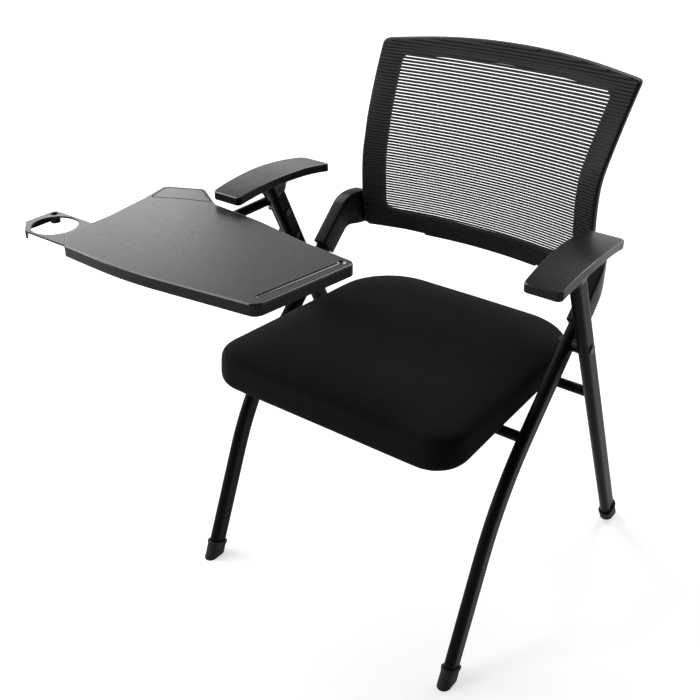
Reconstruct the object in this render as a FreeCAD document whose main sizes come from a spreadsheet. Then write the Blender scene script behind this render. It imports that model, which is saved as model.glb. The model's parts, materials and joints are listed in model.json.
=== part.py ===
import FreeCAD, Part
import math
import os
import Sketcher
from FreeCAD import Placement, Rotation, Vector

doc = FreeCAD.newDocument("TabletArmChair")
sheet = doc.addObject("Spreadsheet::Sheet", "Sizes")

# Driving dimensions: millimetres, and degrees for leans, bends and turns.
# +X is the sitter's left, the chair faces -Y, the floor is Z = 0.
sizes = {
    # Fits
    "running_fit": 0.05,
    "flat_gap": 0.3,
    "screw_fit": 0.05,
    # Flat oval leg tubes
    "leg_plane": 246,
    "leg_thick": 18,
    "leg_deep": 33,
    "leg_wall": 1.5,
    "leg_gap": 11.5,
    "tube_start": 10,
    # Front legs, which run up to the back
    "front_foot_y": -271,
    "front_lean": 22.8,
    "front_bend": 23.6,
    "front_bend_radius": 480,
    "front_lower": 310.6,
    "front_upper": 337,
    "front_bar_at": 95,
    # Rear legs, which run up to the arms
    "rear_foot_y": 259.5,
    "rear_lean": 25.5,
    "rear_length": 694,
    "rear_bar_at": 395.5,
    # Crossbars
    "bar_dia": 17,
    "bar_wall": 1.5,
    # Rubber feet
    "foot_wall": 2.2,
    "foot_height": 28,
    "foot_rim": 1.2,
    "foot_rim_height": 4,
    # Fold pivot
    "pivot_dia": 8,
    "pivot_head_dia": 16,
    "pivot_head_height": 2,
    "pivot_bush_dia": 24,
    "pivot_nut_size": 13,
    "pivot_nut_height": 5,
    # Arm pads
    "pad_front_y": -149,
    "pad_rear_y": 73,
    "pad_front_width": 57,
    "pad_rear_width": 60,
    "pad_front_inset": 25.5,
    "pad_rear_inset": 35.5,
    "pad_thick": 14,
    "pad_crest": 24,
    "pad_front_drop": 10,
    "pad_rear_drop": 13,
    "pad_corner": 8,
    "pad_rear_corner": 13,
    "pad_waist": 2,
    "pad_waist_radius": 900,
    "pad_belly": 4,
    "pad_belly_radius": 700,
    "pad_edge": 2,
    "boss_start": 676,
    "boss_wall": 4.5,
    "boss_flare": 15,
    "boss_shift": 4,
    "arm_screw_at": 685,
    # Screws
    "screw_dia": 4.5,
    "screw_head_height": 2.4,
    # Backrest
    "back_bottom": 501,
    "back_waist": 630,
    "back_straight": 89,
    "back_top": 848,
    "back_waist_y": 136,
    "back_bottom_lean": 15,
    "back_low_radius": 185,
    "back_low_turn": 26,
    "back_high_radius": 1000,
    "back_thick": 16,
    "back_side_gap": 22.5,
    "back_nip": 4.5,
    "back_flare": 12.5,
    "back_neck": 680,
    "back_neck_radius": 260,
    "back_arch": 24,
    "back_crown_radius": 1500,
    "back_sill_bow": 10,
    "back_sill_radius": 2500,
    "opening_arch": 9,
    "back_corner": 7,
    "back_sag_top": 13,
    "back_sag_bottom": 38,
    "stile_width": 39,
    "rail_width": 36,
    "opening_corner": 12,
    "mesh_thick": 1.2,
    "mesh_pitch": 4.8,
    "mesh_slot": 2.2,
    "mesh_border": 4,
    # Plastic brackets that carry the back on the front legs
    "socket_depth": 48,
    "socket_wall": 3.2,
    "bracket_thick": 13,
    "bracket_height": 64,
    "bracket_lift": 4,
    "bracket_fall": 7,
    "bracket_tail": 6,
    "bracket_turn": 58,
    "bracket_corner": 20,
    # Seat
    "hinge_wall": 10,
    "hinge_width": 26,
    "hinge_flare": 8,
    "hinge_flange": 7,
    "hinge_at": 150,
    "saddle_width": 24,
    "saddle_depth": 38,
    "pan_thick": 10,
    "pan_inset": 16,
    "seat_front_y": -274,
    "seat_rear_y": 195,
    "seat_side_gap": 7,
    "seat_rear_inset": 12,
    "seat_rim_drop": 1,
    "seat_height": 66,
    "seat_draw_in": 9,
    "seat_crown": 130,
    "seat_fullest": 0.2,
    "seat_front_corner": 64,
    "seat_rear_corner": 110,
    "seat_fall": 3,
    "seat_least_corner": 8,
    # Tablet arm
    "arm_dia": 16,
    "arm_wall": 1.5,
    "arm_corner": 655,
    "arm_bend_radius": 30,
    "arm_front_y": -322,
    "arm_tail": 558,
    "arm_bolt_upper": 632,
    "arm_bolt_lower": 575,
    "arm_bolt_dia": 6,
    "plug_length": 14,
    "plug_cap": 4,
    "plug_overhang": 1.5,
    # Tablet
    "tablet_front_y": -386,
    "tablet_rise": 5,
    "tablet_thick": 18,
    "tablet_plate": 4,
    "tablet_wall": 3,
    "tablet_base": 3,
    "tablet_edge": 3.2,
    "tablet_side": 106,
    "tablet_front": 17,
    "chamfer_at": 12,
    "chamfer_width": 34,
    "pen_groove_width": 9,
    "pen_groove_depth": 2.6,
    "pen_scoop_width": 14,
    "pen_scoop_depth": 3,
    "tray_depth": 1.8,
    "tray_line": 2.2,
    "block_front_at": 98,
    "block_rear_at": 190,
    "block_length": 36,
    "block_width": 44,
    "block_drop": 12,
    "block_taper": 8,
    "block_corner": 6,
    "block_screw_at": 15,
    "base_boss_height": 6,
    # Cup ring, which slides into the tablet
    "cup_dia": 72,
    "cup_plate": 3,
    "cup_near": 11,
    "cup_width": 80,
    "cup_reach": 92,
    "cup_tongue": 70,
    "cup_centre": 44.5,
    "cup_flange": 10.5,
    "cup_corner": 8,
    "cup_edge": 4,
    "cup_notch": 44,
    "cup_rail_at": 48,
    "cup_rail_length": 160,
    "cup_rail_width": 4,
    "pen_hole_dia": 12,
    "pen_hole_at": 10,
    "pen_wall": 2,
}
for row, (alias, value) in enumerate(sizes.items(), 1):
    sheet.set("A%d" % row, alias)
    sheet.set("B%d" % row, str(value))
    sheet.setAlias("B%d" % row, alias)
doc.recompute()

nodes = []
upright = Rotation(Vector(1, 1, 1), 120)
facing = Rotation(Vector(1, 0, 0), 90)
along_x = Rotation(Vector(0, 1, 0), 90)


def size(alias):
    return float(sheet.get(alias))


def node(obj, label):
    obj.Label = label
    nodes.append(obj)
    return obj


def mirrored(obj, label):
    twin = doc.addObject("Part::Mirroring", label)
    twin.Source = obj
    twin.Normal = Vector(1, 0, 0)
    return node(twin, label)


# Sketch and feature helpers

def origin_plane(body, role):
    return [feature for feature in body.Origin.OriginFeatures if feature.Role == role][0]


def body_sketch(body, name, role):
    sketch = body.newObject("Sketcher::SketchObject", name)
    sketch.AttachmentSupport = [(origin_plane(body, role), "")]
    sketch.MapMode = "FlatFace"
    return sketch


def add_circle(sketch, name, diameter, x=0.0, y=0.0):
    circle = sketch.addGeometry(Part.Circle(Vector(x, y, 0), Vector(0, 0, 1), 1.0))
    radius = sketch.addConstraint(Sketcher.Constraint("Diameter", circle, 2.0))
    sketch.renameConstraint(radius, name)
    sketch.setExpression("Constraints." + name, diameter)
    if x == 0.0 and y == 0.0:
        sketch.addConstraint(Sketcher.Constraint("Coincident", circle, 3, -1, 1))
    else:
        sketch.addConstraint(Sketcher.Constraint("DistanceX", -1, 1, circle, 3, x))
        sketch.addConstraint(Sketcher.Constraint("DistanceY", -1, 1, circle, 3, y))


def add_stadium(sketch, name, deep, thick, inset=""):
    # A flat oval: two straight sides along the sketch's Y, closed by half circles.
    radius = 5.0
    centre = 9.0
    axis = Vector(0, 0, 1)
    top = Part.ArcOfCircle(Part.Circle(Vector(0, centre, 0), axis, radius), 0, math.pi)
    left = Part.LineSegment(Vector(-radius, centre, 0), Vector(-radius, -centre, 0))
    bottom = Part.ArcOfCircle(Part.Circle(Vector(0, -centre, 0), axis, radius), math.pi, 2 * math.pi)
    right = Part.LineSegment(Vector(radius, -centre, 0), Vector(radius, centre, 0))
    first = [sketch.addGeometry(shape) for shape in (top, left, bottom, right)]
    for one, other in ((0, 1), (1, 2), (2, 3), (3, 0)):
        sketch.addConstraint(Sketcher.Constraint("Tangent", first[one], 2, first[other], 1))
    sketch.addConstraint(Sketcher.Constraint("Vertical", first[1]))
    sketch.addConstraint(Sketcher.Constraint("Equal", first[0], first[2]))
    sketch.addConstraint(Sketcher.Constraint("Symmetric", first[0], 3, first[2], 3, -1, 1))
    width = sketch.addConstraint(Sketcher.Constraint("Radius", first[0], radius))
    sketch.renameConstraint(width, name + "_radius")
    sketch.setExpression("Constraints.%s_radius" % name, "%s / 2%s" % (thick, inset))
    length = sketch.addConstraint(Sketcher.Constraint("DistanceY", first[2], 3, first[0], 3, 2 * centre))
    sketch.renameConstraint(length, name + "_centres")
    sketch.setExpression("Constraints.%s_centres" % name, "%s - %s" % (deep, thick))


def pad_feature(body, sketch, length, symmetric=False):
    pad = body.newObject("PartDesign::Pad", "Pad")
    pad.Profile = sketch
    pad.setExpression("Length", length)
    pad.Midplane = symmetric
    return pad


def cross_hole(body, name, diameter, y, z):
    # A round hole through both walls of a tube, along the body's X.
    sketch = body_sketch(body, name, "YZ_Plane")
    add_circle(sketch, "bore", diameter, y, z)
    pocket = body.newObject("PartDesign::Pocket", "Cut" + name)
    pocket.Profile = sketch
    pocket.Type = "ThroughAll"
    pocket.Midplane = True
    return pocket


def rounded(corners):
    # Lines and tangent arcs round a closed outline of (x, y, corner radius).
    edges = []
    marks = []
    count = len(corners)
    for index in range(count):
        before = Vector(*corners[index - 1][:2])
        here = Vector(*corners[index][:2])
        after = Vector(*corners[(index + 1) % count][:2])
        radius = corners[index][2]
        toward = (before - here).normalize()
        onward = (after - here).normalize()
        half = toward.getAngle(onward) / 2
        reach = radius / math.tan(half)
        middle = (toward + onward).normalize()
        crown = here + middle * (radius / math.sin(half) - radius)
        marks.append((here + toward * reach, crown, here + onward * reach))
    for index in range(count):
        start, crown, end = marks[index]
        if corners[index][2] > 0:
            edges.append(Part.Arc(start, crown, end))
        following = marks[(index + 1) % count][0]
        if end.distanceToPoint(following) > 1e-6:
            edges.append(Part.LineSegment(end, following))
    return edges


def outline(name, loops, base=Vector(0, 0, 0), turn=Rotation()):
    # A free-standing sketch of closed loops of rounded corners.
    sketch = doc.addObject("Sketcher::SketchObject", name)
    for corners in loops:
        for edge in rounded(corners):
            sketch.addGeometry(edge)
    sketch.Placement = Placement(base, turn)
    return sketch


def extrude(sketch, length, symmetric=False, backward=False):
    solid = doc.addObject("Part::Extrusion", sketch.Name + "Solid")
    solid.Base = sketch
    solid.DirMode = "Normal"
    solid.setExpression("LengthFwd", length)
    solid.Solid = True
    solid.Symmetric = symmetric
    solid.Reversed = backward
    return solid


def box(name, length, width, height, base, turn=Rotation()):
    block = doc.addObject("Part::Box", name)
    block.Length = length
    block.Width = width
    block.Height = height
    block.Placement = Placement(base, turn)
    return block


def cylinder(name, diameter, length, base, turn=along_x):
    # The axis runs along +X from base unless turned.
    rod = doc.addObject("Part::Cylinder", name)
    rod.setExpression("Radius", "(%s) / 2" % diameter)
    rod.Height = length
    rod.Placement = Placement(base, turn)
    return rod


def cut(base, tool, name="Cut"):
    result = doc.addObject("Part::Cut", name)
    result.Base = base
    result.Tool = tool
    return result


def fuse(shapes, name="Fuse"):
    result = doc.addObject("Part::MultiFuse", name)
    result.Shapes = shapes
    return result


def common(shapes, name="Common"):
    result = doc.addObject("Part::MultiCommon", name)
    result.Shapes = shapes
    return result


def group(shapes, name="Group"):
    result = doc.addObject("Part::Compound", name)
    result.Links = shapes
    return result


def fixed(shape, name):
    feature = doc.addObject("Part::Feature", name)
    feature.Shape = shape
    return feature


def round_edges(base, radius, wanted, name="Rounded"):
    # Rounds the edges whose middle point the test accepts.
    doc.recompute()
    chosen = []
    for index, edge in enumerate(base.Shape.Edges, 1):
        middle = edge.valueAt((edge.FirstParameter + edge.LastParameter) / 2)
        if wanted(middle, edge):
            chosen.append((index, radius, radius))
    result = doc.addObject("Part::Fillet", name)
    result.Base = base
    result.Edges = chosen
    return result


# Places on the folding frame, seen from the side

leg_half = size("leg_thick") / 2
rear_plane = size("leg_plane") + size("leg_thick") + size("leg_gap")
front_turn = Rotation(Vector(1, 0, 0), -size("front_lean"))
upper_lean = size("front_lean") + size("front_bend")
upper_turn = Rotation(Vector(1, 0, 0), -upper_lean)
rear_turn = Rotation(Vector(1, 0, 0), size("rear_lean"))
up = Vector(0, 0, 1)


def front_low(distance):
    # A point on the lower run of a front leg, this far up from the floor.
    return Vector(0, size("front_foot_y"), 0) + front_turn.multVec(up) * distance


def front_high(distance):
    # A point on the upper run of a front leg, this far past its bend's corner.
    return front_low(size("front_lower")) + upper_turn.multVec(up) * distance


def rear(distance):
    # A point on a rear leg, this far up from the floor.
    return Vector(0, size("rear_foot_y"), 0) + rear_turn.multVec(up) * distance


def crossing():
    # Where the upper run of a front leg and a rear leg cross.
    start = front_high(0)
    way = upper_turn.multVec(up)
    other = rear_turn.multVec(up)
    apart = rear(0) - start
    across = way.y * other.z - way.z * other.y
    return start + way * ((apart.y * other.z - apart.z * other.y) / across)


pivot = crossing()
front_bar = front_high(size("front_bar_at"))
rear_bar = rear(size("rear_bar_at"))


def aside(point, x):
    return Vector(x, point.y, point.z)


# Legs

def leg_profile(body):
    sketch = body_sketch(body, "Section", "XY_Plane")
    add_stadium(sketch, "outer", "Sizes.leg_deep", "Sizes.leg_thick")
    add_stadium(sketch, "inner", "Sizes.leg_deep", "Sizes.leg_thick", " - Sizes.leg_wall")
    return sketch


def front_leg():
    body = doc.addObject("PartDesign::Body", "FrontLeg")
    start = front_low(size("tube_start"))
    body.Placement = Placement(aside(start, size("leg_plane")), front_turn)
    section = leg_profile(body)
    spine = body_sketch(body, "Path", "YZ_Plane")
    bend = math.radians(size("front_bend"))
    radius = size("front_bend_radius")
    setback = radius * math.tan(bend / 2)
    corner = size("front_lower") - size("tube_start")
    rest = size("front_upper") - setback
    low_end = Vector(0, corner - setback, 0)
    high_start = Vector(setback * math.sin(bend), corner + setback * math.cos(bend), 0)
    high_end = high_start + Vector(math.sin(bend), math.cos(bend), 0) * rest
    centre = low_end + Vector(radius, 0, 0)
    circle = Part.Circle(centre, Vector(0, 0, 1), radius)
    low = spine.addGeometry(Part.LineSegment(Vector(0, 0, 0), low_end))
    curve = spine.addGeometry(Part.ArcOfCircle(circle, math.pi - bend, math.pi))
    high = spine.addGeometry(Part.LineSegment(high_start, high_end))
    spine.addConstraint(Sketcher.Constraint("Coincident", low, 1, -1, 1))
    spine.addConstraint(Sketcher.Constraint("Vertical", low))
    spine.addConstraint(Sketcher.Constraint("Tangent", low, 2, curve, 2))
    spine.addConstraint(Sketcher.Constraint("Tangent", curve, 1, high, 1))
    back = "Sizes.front_bend_radius * tan(Sizes.front_bend * 1deg / 2)"
    named = (
        ("lower_run", Sketcher.Constraint("Distance", low, corner - setback),
         "Sizes.front_lower - Sizes.tube_start - " + back),
        ("bend_radius", Sketcher.Constraint("Radius", curve, radius), "Sizes.front_bend_radius"),
        ("upper_run", Sketcher.Constraint("Distance", high, rest), "Sizes.front_upper - " + back),
        ("bend_angle", Sketcher.Constraint("Angle", high, math.pi / 2 - bend),
         "90deg - Sizes.front_bend * 1deg"),
    )
    for name, constraint, expression in named:
        index = spine.addConstraint(constraint)
        spine.renameConstraint(index, name)
        spine.setExpression("Constraints." + name, expression)
    pipe = body.newObject("PartDesign::AdditivePipe", "Tube")
    pipe.Profile = section
    pipe.Spine = (spine, ["Edge1", "Edge2", "Edge3"])
    doc.recompute()
    local = body.Placement.inverse().multVec(aside(pivot, size("leg_plane")))
    cross_hole(body, "PivotHole", "Sizes.pivot_dia + 2 * Sizes.screw_fit", local.y, local.z)
    for index, distance in enumerate(clamp_screw_places(), 1):
        local = body.Placement.inverse().multVec(aside(front_high(distance), size("leg_plane")))
        cross_hole(body, "ClampHole%d" % index, "Sizes.screw_dia + 2 * Sizes.screw_fit", local.y, local.z)
    return body


def clamp_screw_places():
    # Two screws hold each bracket's socket on the leg that fills it.
    end = size("front_upper")
    return [end - size("socket_depth") * share for share in (0.25, 0.7)]


def rear_leg(label, side, extra_holes):
    body = doc.addObject("PartDesign::Body", label)
    start = aside(rear(size("tube_start")), side * rear_plane)
    body.Placement = Placement(start, rear_turn)
    pad_feature(body, leg_profile(body), "Sizes.rear_length - Sizes.tube_start")
    doc.recompute()
    holes = [("Pivot", pivot, "Sizes.pivot_dia + 2 * Sizes.running_fit"),
             ("ArmScrew", rear(size("arm_screw_at")), "Sizes.screw_dia + 2 * Sizes.screw_fit")]
    for name, point, diameter in holes + extra_holes:
        local = body.Placement.inverse().multVec(aside(point, side * rear_plane))
        cross_hole(body, name + "Hole", diameter, local.y, local.z)
    return node(body, label)


def crossbar(label, place, half_length):
    # A round tube between the inner faces of two legs.
    body = doc.addObject("PartDesign::Body", label)
    body.Placement = Placement(place, Rotation())
    ring = body_sketch(body, "Ring", "YZ_Plane")
    add_circle(ring, "outer", "Sizes.bar_dia")
    add_circle(ring, "inner", "Sizes.bar_dia - 2 * Sizes.bar_wall")
    pad_feature(body, ring, half_length, symmetric=True)
    return node(body, label)


def foot_cap(label, ground, turn):
    # A rubber cup over the end of a tube, cut level where it meets the floor.
    body = doc.addObject("PartDesign::Body", label + "Cup")
    below = ground - turn.multVec(up) * size("foot_height")
    body.Placement = Placement(below, turn)
    wall = body_sketch(body, "Wall", "XY_Plane")
    add_stadium(wall, "outer", "Sizes.leg_deep", "Sizes.leg_thick", " + Sizes.foot_wall")
    pad_feature(body, wall, "2 * Sizes.foot_height")
    rim = body_sketch(body, "Rim", "XY_Plane")
    rim.setExpression("AttachmentOffset.Base.z", "2 * Sizes.foot_height - Sizes.foot_rim_height")
    add_stadium(rim, "rim", "Sizes.leg_deep", "Sizes.leg_thick", " + Sizes.foot_wall + Sizes.foot_rim")
    pad_feature(body, rim, "Sizes.foot_rim_height")
    bore = body_sketch(body, "Bore", "XY_Plane")
    bore.setExpression("AttachmentOffset.Base.z", "Sizes.foot_height + Sizes.tube_start")
    add_stadium(bore, "bore", "Sizes.leg_deep", "Sizes.leg_thick", " + Sizes.running_fit")
    pocket = body.newObject("PartDesign::Pocket", "Socket")
    pocket.Profile = bore
    pocket.Reversed = True
    pocket.setExpression("Length", "2 * Sizes.foot_height")
    reach = 4 * size("leg_deep")
    floor = box(label + "Floor", reach, reach, reach, ground - Vector(reach / 2, reach / 2, reach))
    return cut(body, floor, label + "Level")


front_leg_left = node(front_leg(), "front_leg_left")
front_leg_right = mirrored(front_leg_left, "front_leg_right")
rear_leg_left = rear_leg("rear_leg_left", 1, [])
arm_bolt_hole = "Sizes.arm_bolt_dia + 2 * Sizes.screw_fit"
rear_leg_right = rear_leg("rear_leg_right", -1, [
    ("UpperBolt", rear(size("arm_bolt_upper")), arm_bolt_hole),
    ("LowerBolt", rear(size("arm_bolt_lower")), arm_bolt_hole)])
crossbar("front_crossbar", front_bar, "2 * Sizes.leg_plane - Sizes.leg_thick")
rear_inner = "2 * (Sizes.leg_plane + Sizes.leg_gap) + Sizes.leg_thick"
crossbar("rear_crossbar", rear_bar, rear_inner)

front_ground = Vector(size("leg_plane"), size("front_foot_y"), 0)
rear_ground = Vector(rear_plane, size("rear_foot_y"), 0)
front_foot_left = node(foot_cap("FrontFoot", front_ground, front_turn), "front_foot_left")
mirrored(front_foot_left, "front_foot_right")
rear_foot_left = node(foot_cap("RearFoot", rear_ground, rear_turn), "rear_foot_left")
mirrored(rear_foot_left, "rear_foot_right")


# Fold pivots: a bolt through both legs, a bush in the gap and a nut inside

def pivot_bolt():
    inner = size("leg_plane") - leg_half
    outer = rear_plane + leg_half
    tail = size("pivot_nut_height") + 2
    length = outer - inner + tail + size("flat_gap")
    shank = cylinder("PivotShank", "Sizes.pivot_dia", length, aside(pivot, inner - tail))
    head_at = aside(pivot, outer + size("flat_gap"))
    head = cylinder("PivotHead", "Sizes.pivot_head_dia", size("pivot_head_height"), head_at)
    solid = fuse([shank, head], "PivotBoltBlank")
    rim = outer + size("flat_gap") + size("pivot_head_height") - 0.01
    return round_edges(solid, size("pivot_head_height") * 0.7, lambda at, edge: at.x > rim, "PivotBolt")


def ring(name, outer, inner, length, base):
    solid = cylinder(name + "Rod", outer, length, base)
    bore = cylinder(name + "Bore", inner, length, base)
    return cut(solid, bore, name)


def hex_nut(name, across, bore, length, base):
    prism = doc.addObject("Part::Prism", name + "Hex")
    prism.Polygon = 6
    prism.setExpression("Circumradius", "%s / 2 / cos(30deg)" % across)
    prism.Height = length
    prism.Placement = Placement(base, along_x)
    return cut(prism, cylinder(name + "Bore", bore, length, base), name)


pivot_bore = "Sizes.pivot_dia + 2 * Sizes.screw_fit"
pivot_bolt_left = node(pivot_bolt(), "pivot_bolt_left")
mirrored(pivot_bolt_left, "pivot_bolt_right")
bush_at = aside(pivot, size("leg_plane") + leg_half)
bush_length = size("leg_gap") - size("flat_gap")
bush = ring("PivotBush", "Sizes.pivot_bush_dia", pivot_bore, bush_length, bush_at)
mirrored(node(bush, "pivot_bush_left"), "pivot_bush_right")
nut_at = aside(pivot, size("leg_plane") - leg_half - size("pivot_nut_height"))
nut = hex_nut("PivotNut", "Sizes.pivot_nut_size", pivot_bore, size("pivot_nut_height"), nut_at)
mirrored(node(nut, "pivot_nut_left"), "pivot_nut_right")


# Screws

def screw(name, head_at, way, length, diameter="Sizes.screw_dia"):
    # The head's under side sits at head_at and the shank runs along way.
    turn = Rotation(Vector(0, 0, 1), way)
    head_height = size("screw_head_height")
    shank = cylinder(name + "Shank", diameter, length, head_at, turn)
    under = head_at - way * head_height
    head = cylinder(name + "Head", "2 * (%s)" % diameter, head_height, under, turn)
    return fuse([shank, head], name)


def bore_for(name, head_at, way, length, diameter="Sizes.screw_dia"):
    turn = Rotation(Vector(0, 0, 1), way)
    return cylinder(name, "%s + 2 * Sizes.screw_fit" % diameter, length, head_at, turn)


seat_bore = "2 * Sizes.screw_dia + 2 * Sizes.flat_gap"


# Backrest: an S curve from the side, hollowed towards the sitter in plan

back_half = size("leg_plane") - size("back_side_gap")


def back_curve(z):
    # Depth of the front face along a side edge, as three tangent arcs.
    waist = size("back_waist")
    depth = size("back_waist_y")
    drop = waist - size("back_bottom")
    low_lean = math.radians(size("back_bottom_lean"))
    bottom_radius = drop / math.sin(low_lean)
    if z < waist:
        return depth + bottom_radius - math.sqrt(bottom_radius ** 2 - (waist - z) ** 2)
    turn = math.radians(size("back_low_turn"))
    radius = size("back_low_radius")
    knee = waist + radius * math.sin(turn)
    if z < knee:
        return depth + radius - math.sqrt(radius ** 2 - (z - waist) ** 2)
    wide = size("back_high_radius")
    centre_y = depth + radius * (1 - math.cos(turn)) + wide * math.cos(turn)
    centre_z = knee - wide * math.sin(turn)
    return centre_y - math.sqrt(wide ** 2 - (z - centre_z) ** 2)


def back_depth(x, z):
    # The centre of the back lies further from the sitter than its sides.
    share = (x / back_half) ** 2
    height = (size("back_top") - z) / (size("back_top") - size("back_bottom"))
    sag = size("back_sag_top") + (size("back_sag_bottom") - size("back_sag_top")) * height
    return back_curve(z) + sag * (1 - share)


def curved_sheet(name, front, rear_face):
    # A solid between two offsets of the back's front face, wider than the back.
    margin = 12
    low = size("back_bottom") - margin
    high = size("back_top") + margin
    waist = size("back_waist")
    turn = math.radians(size("back_low_turn"))
    knee = waist + size("back_low_radius") * math.sin(turn)
    spans = ((low, waist), (waist, knee), (knee, high))
    reach = back_half + size("back_flare") + margin
    sections = []
    for share in (-1, -0.5, 0, 0.5, 1):
        x = share * reach

        def point(z, offset):
            return Vector(x, back_depth(x, z) + offset, z)

        edges = [Part.Arc(point(a, front), point((a + b) / 2, front), point(b, front)).toShape()
                 for a, b in spans]
        edges.append(Part.LineSegment(point(high, front), point(high, rear_face)).toShape())
        edges += [Part.Arc(point(b, rear_face), point((a + b) / 2, rear_face),
                           point(a, rear_face)).toShape() for a, b in reversed(spans)]
        edges.append(Part.LineSegment(point(low, rear_face), point(low, front)).toShape())
        sections.append(Part.Wire(edges))
    return fixed(Part.makeLoft(sections, True, False), name)


def back_side(z):
    # Half width of the back: straight below, nipped in at the neck, flared above.
    straight = size("back_bottom") + size("back_straight")
    neck = size("back_neck")
    nip = back_half - size("back_nip")
    if z < neck:
        share = max(0.0, (z - straight) / (neck - straight))
        return back_half - size("back_nip") * share
    high = back_half + size("back_flare")
    return nip + (high - nip) * (z - neck) / (size("back_top") - neck)


def back_loop(inset_side, inset_rail, corner, arch):
    # The front outline of the back, or of its opening, as rounded corners.
    bottom = size("back_bottom") + inset_rail
    top = size("back_top") - inset_rail
    shoulder = top - arch
    neck = size("back_neck")
    bow = size("back_sill_bow")
    right = [(back_side(bottom) - inset_side, bottom + bow * 0.6, corner),
             (back_side(neck) - inset_side, neck, size("back_neck_radius")),
             (back_side(shoulder) - inset_side, shoulder, corner)]
    left = [(-x, z, radius) for x, z, radius in reversed(right)]
    crown = [(0, top + arch * 0.12, size("back_crown_radius"))]
    sill = [(0, bottom - bow * 0.4, size("back_sill_radius"))]
    return sill + right + crown + left


def back_shape(name, sheet_solid, loops):
    sketch = outline(name + "Outline", loops, Vector(0, 0, 0), facing)
    block = extrude(sketch, "Sizes.back_top", backward=True)
    return common([sheet_solid, block], name)


def mesh_slots():
    # Level slots between the strands, all within the frame's opening.
    border = size("mesh_border")
    low = size("back_bottom") + size("rail_width") + size("back_sill_bow") + border
    high = size("back_top") - size("rail_width") - size("opening_arch") - border
    half_slot = size("mesh_slot") / 2
    count = int((high - low) / size("mesh_pitch"))
    slots = []
    for index in range(count):
        z = low + size("mesh_pitch") * (index + 0.5)
        half = back_side(z) - size("stile_width") - border
        slots.append([(-half, z - half_slot, 0), (half, z - half_slot, 0),
                      (half, z + half_slot, 0), (-half, z + half_slot, 0)])
    return slots


sheet_front = -size("mesh_thick") - size("flat_gap")
arch = size("back_arch")
opening = back_loop(size("stile_width"), size("rail_width"), size("opening_corner"), size("opening_arch"))
frame_loops = [back_loop(0, 0, size("back_corner"), arch), opening]
frame_solid = back_shape("BackFrame", curved_sheet("FrameSheet", 0, size("back_thick")), frame_loops)
mesh_solid = back_shape("BackMesh", curved_sheet("MeshSheet", sheet_front, -size("flat_gap")),
                        [back_loop(1, 1, size("back_corner"), arch)] + mesh_slots())


# Brackets: a band that sleeves each front leg's end, then levels off and turns in to the back's side

cheek_inner = back_half + size("flat_gap")
cheek_outer = cheek_inner + size("bracket_thick")
bracket_bottom = size("back_bottom") + size("bracket_lift")
bracket_top = bracket_bottom + size("bracket_height")
bracket_rear_y = back_curve(bracket_bottom) + size("back_thick") + size("bracket_tail")
band_half = leg_half + size("socket_wall")


def bracket_side():
    # The band seen from the side, from the socket's mouth to behind the back.
    half = size("leg_deep") / 2 + size("socket_wall")
    way = upper_turn.multVec(up)
    normal = Vector(0, -way.z, way.y)
    mouth = front_high(size("front_upper") - size("socket_depth"))
    upper = mouth + normal * half
    lower = mouth - normal * half
    low_z = bracket_bottom + size("bracket_fall")
    high_y = upper.y + way.y * (bracket_top - upper.z) / way.z
    low_y = lower.y + way.y * (low_z - lower.z) / way.z
    corner = size("bracket_corner")
    points = [(lower.y, lower.z, 0), (low_y, low_z, corner),
              (bracket_rear_y, bracket_bottom, corner / 2), (bracket_rear_y, bracket_top, corner * 1.45),
              (high_y, bracket_top, size("bracket_turn")), (upper.y, upper.z, 0)]
    sketch = outline("BracketSide", [points], Vector(cheek_inner, 0, 0), upright)
    return extrude(sketch, "Sizes.back_side_gap + Sizes.leg_thick / 2 + Sizes.socket_wall")


def bracket_plan():
    # The band seen from above: straight over the leg, then in to the back's side.
    near = size("leg_plane") - band_half
    far = size("leg_plane") + band_half
    corner = size("bracket_corner")
    soft = size("bracket_turn") / 2
    turn_y = front_high(size("front_upper")).y + corner
    meet_y = back_curve(bracket_top)
    points = [(near, 0, 0), (far, 0, 0), (far, turn_y, soft),
              (cheek_outer, bracket_rear_y, corner / 4), (cheek_inner, bracket_rear_y, corner / 4),
              (cheek_inner, meet_y, soft), (near, turn_y, soft)]
    return extrude(outline("BracketPlan", [points]), "2 * Sizes.rear_length")


def bracket_bore():
    body = doc.addObject("PartDesign::Body", "BracketBore")
    mouth = front_high(size("front_upper") - 2 * size("socket_depth"))
    body.Placement = Placement(aside(mouth, size("leg_plane")), upper_turn)
    section = body_sketch(body, "Section", "XY_Plane")
    add_stadium(section, "bore", "Sizes.leg_deep", "Sizes.leg_thick", " + Sizes.running_fit")
    pad_feature(body, section, "2 * Sizes.socket_depth + Sizes.running_fit")
    return body


def bracket_screw_places():
    # Two sunk screws through the band into the middle of the back's side, one above the other.
    middle = (bracket_bottom + bracket_top) / 2
    apart = size("bracket_height") * 0.27
    half_way = back_half - size("stile_width") * 0.3
    places = []
    for z in (middle - apart, middle + apart):
        depth = back_depth(half_way, z) + size("back_thick") / 2
        places.append(Vector(cheek_outer, depth, z))
    return places


def clamp_screw(name, place):
    # A headless screw, flush with the band's outer face.
    return cylinder(name, "Sizes.screw_dia", clamp_length, place, Rotation(up, inward))


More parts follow.
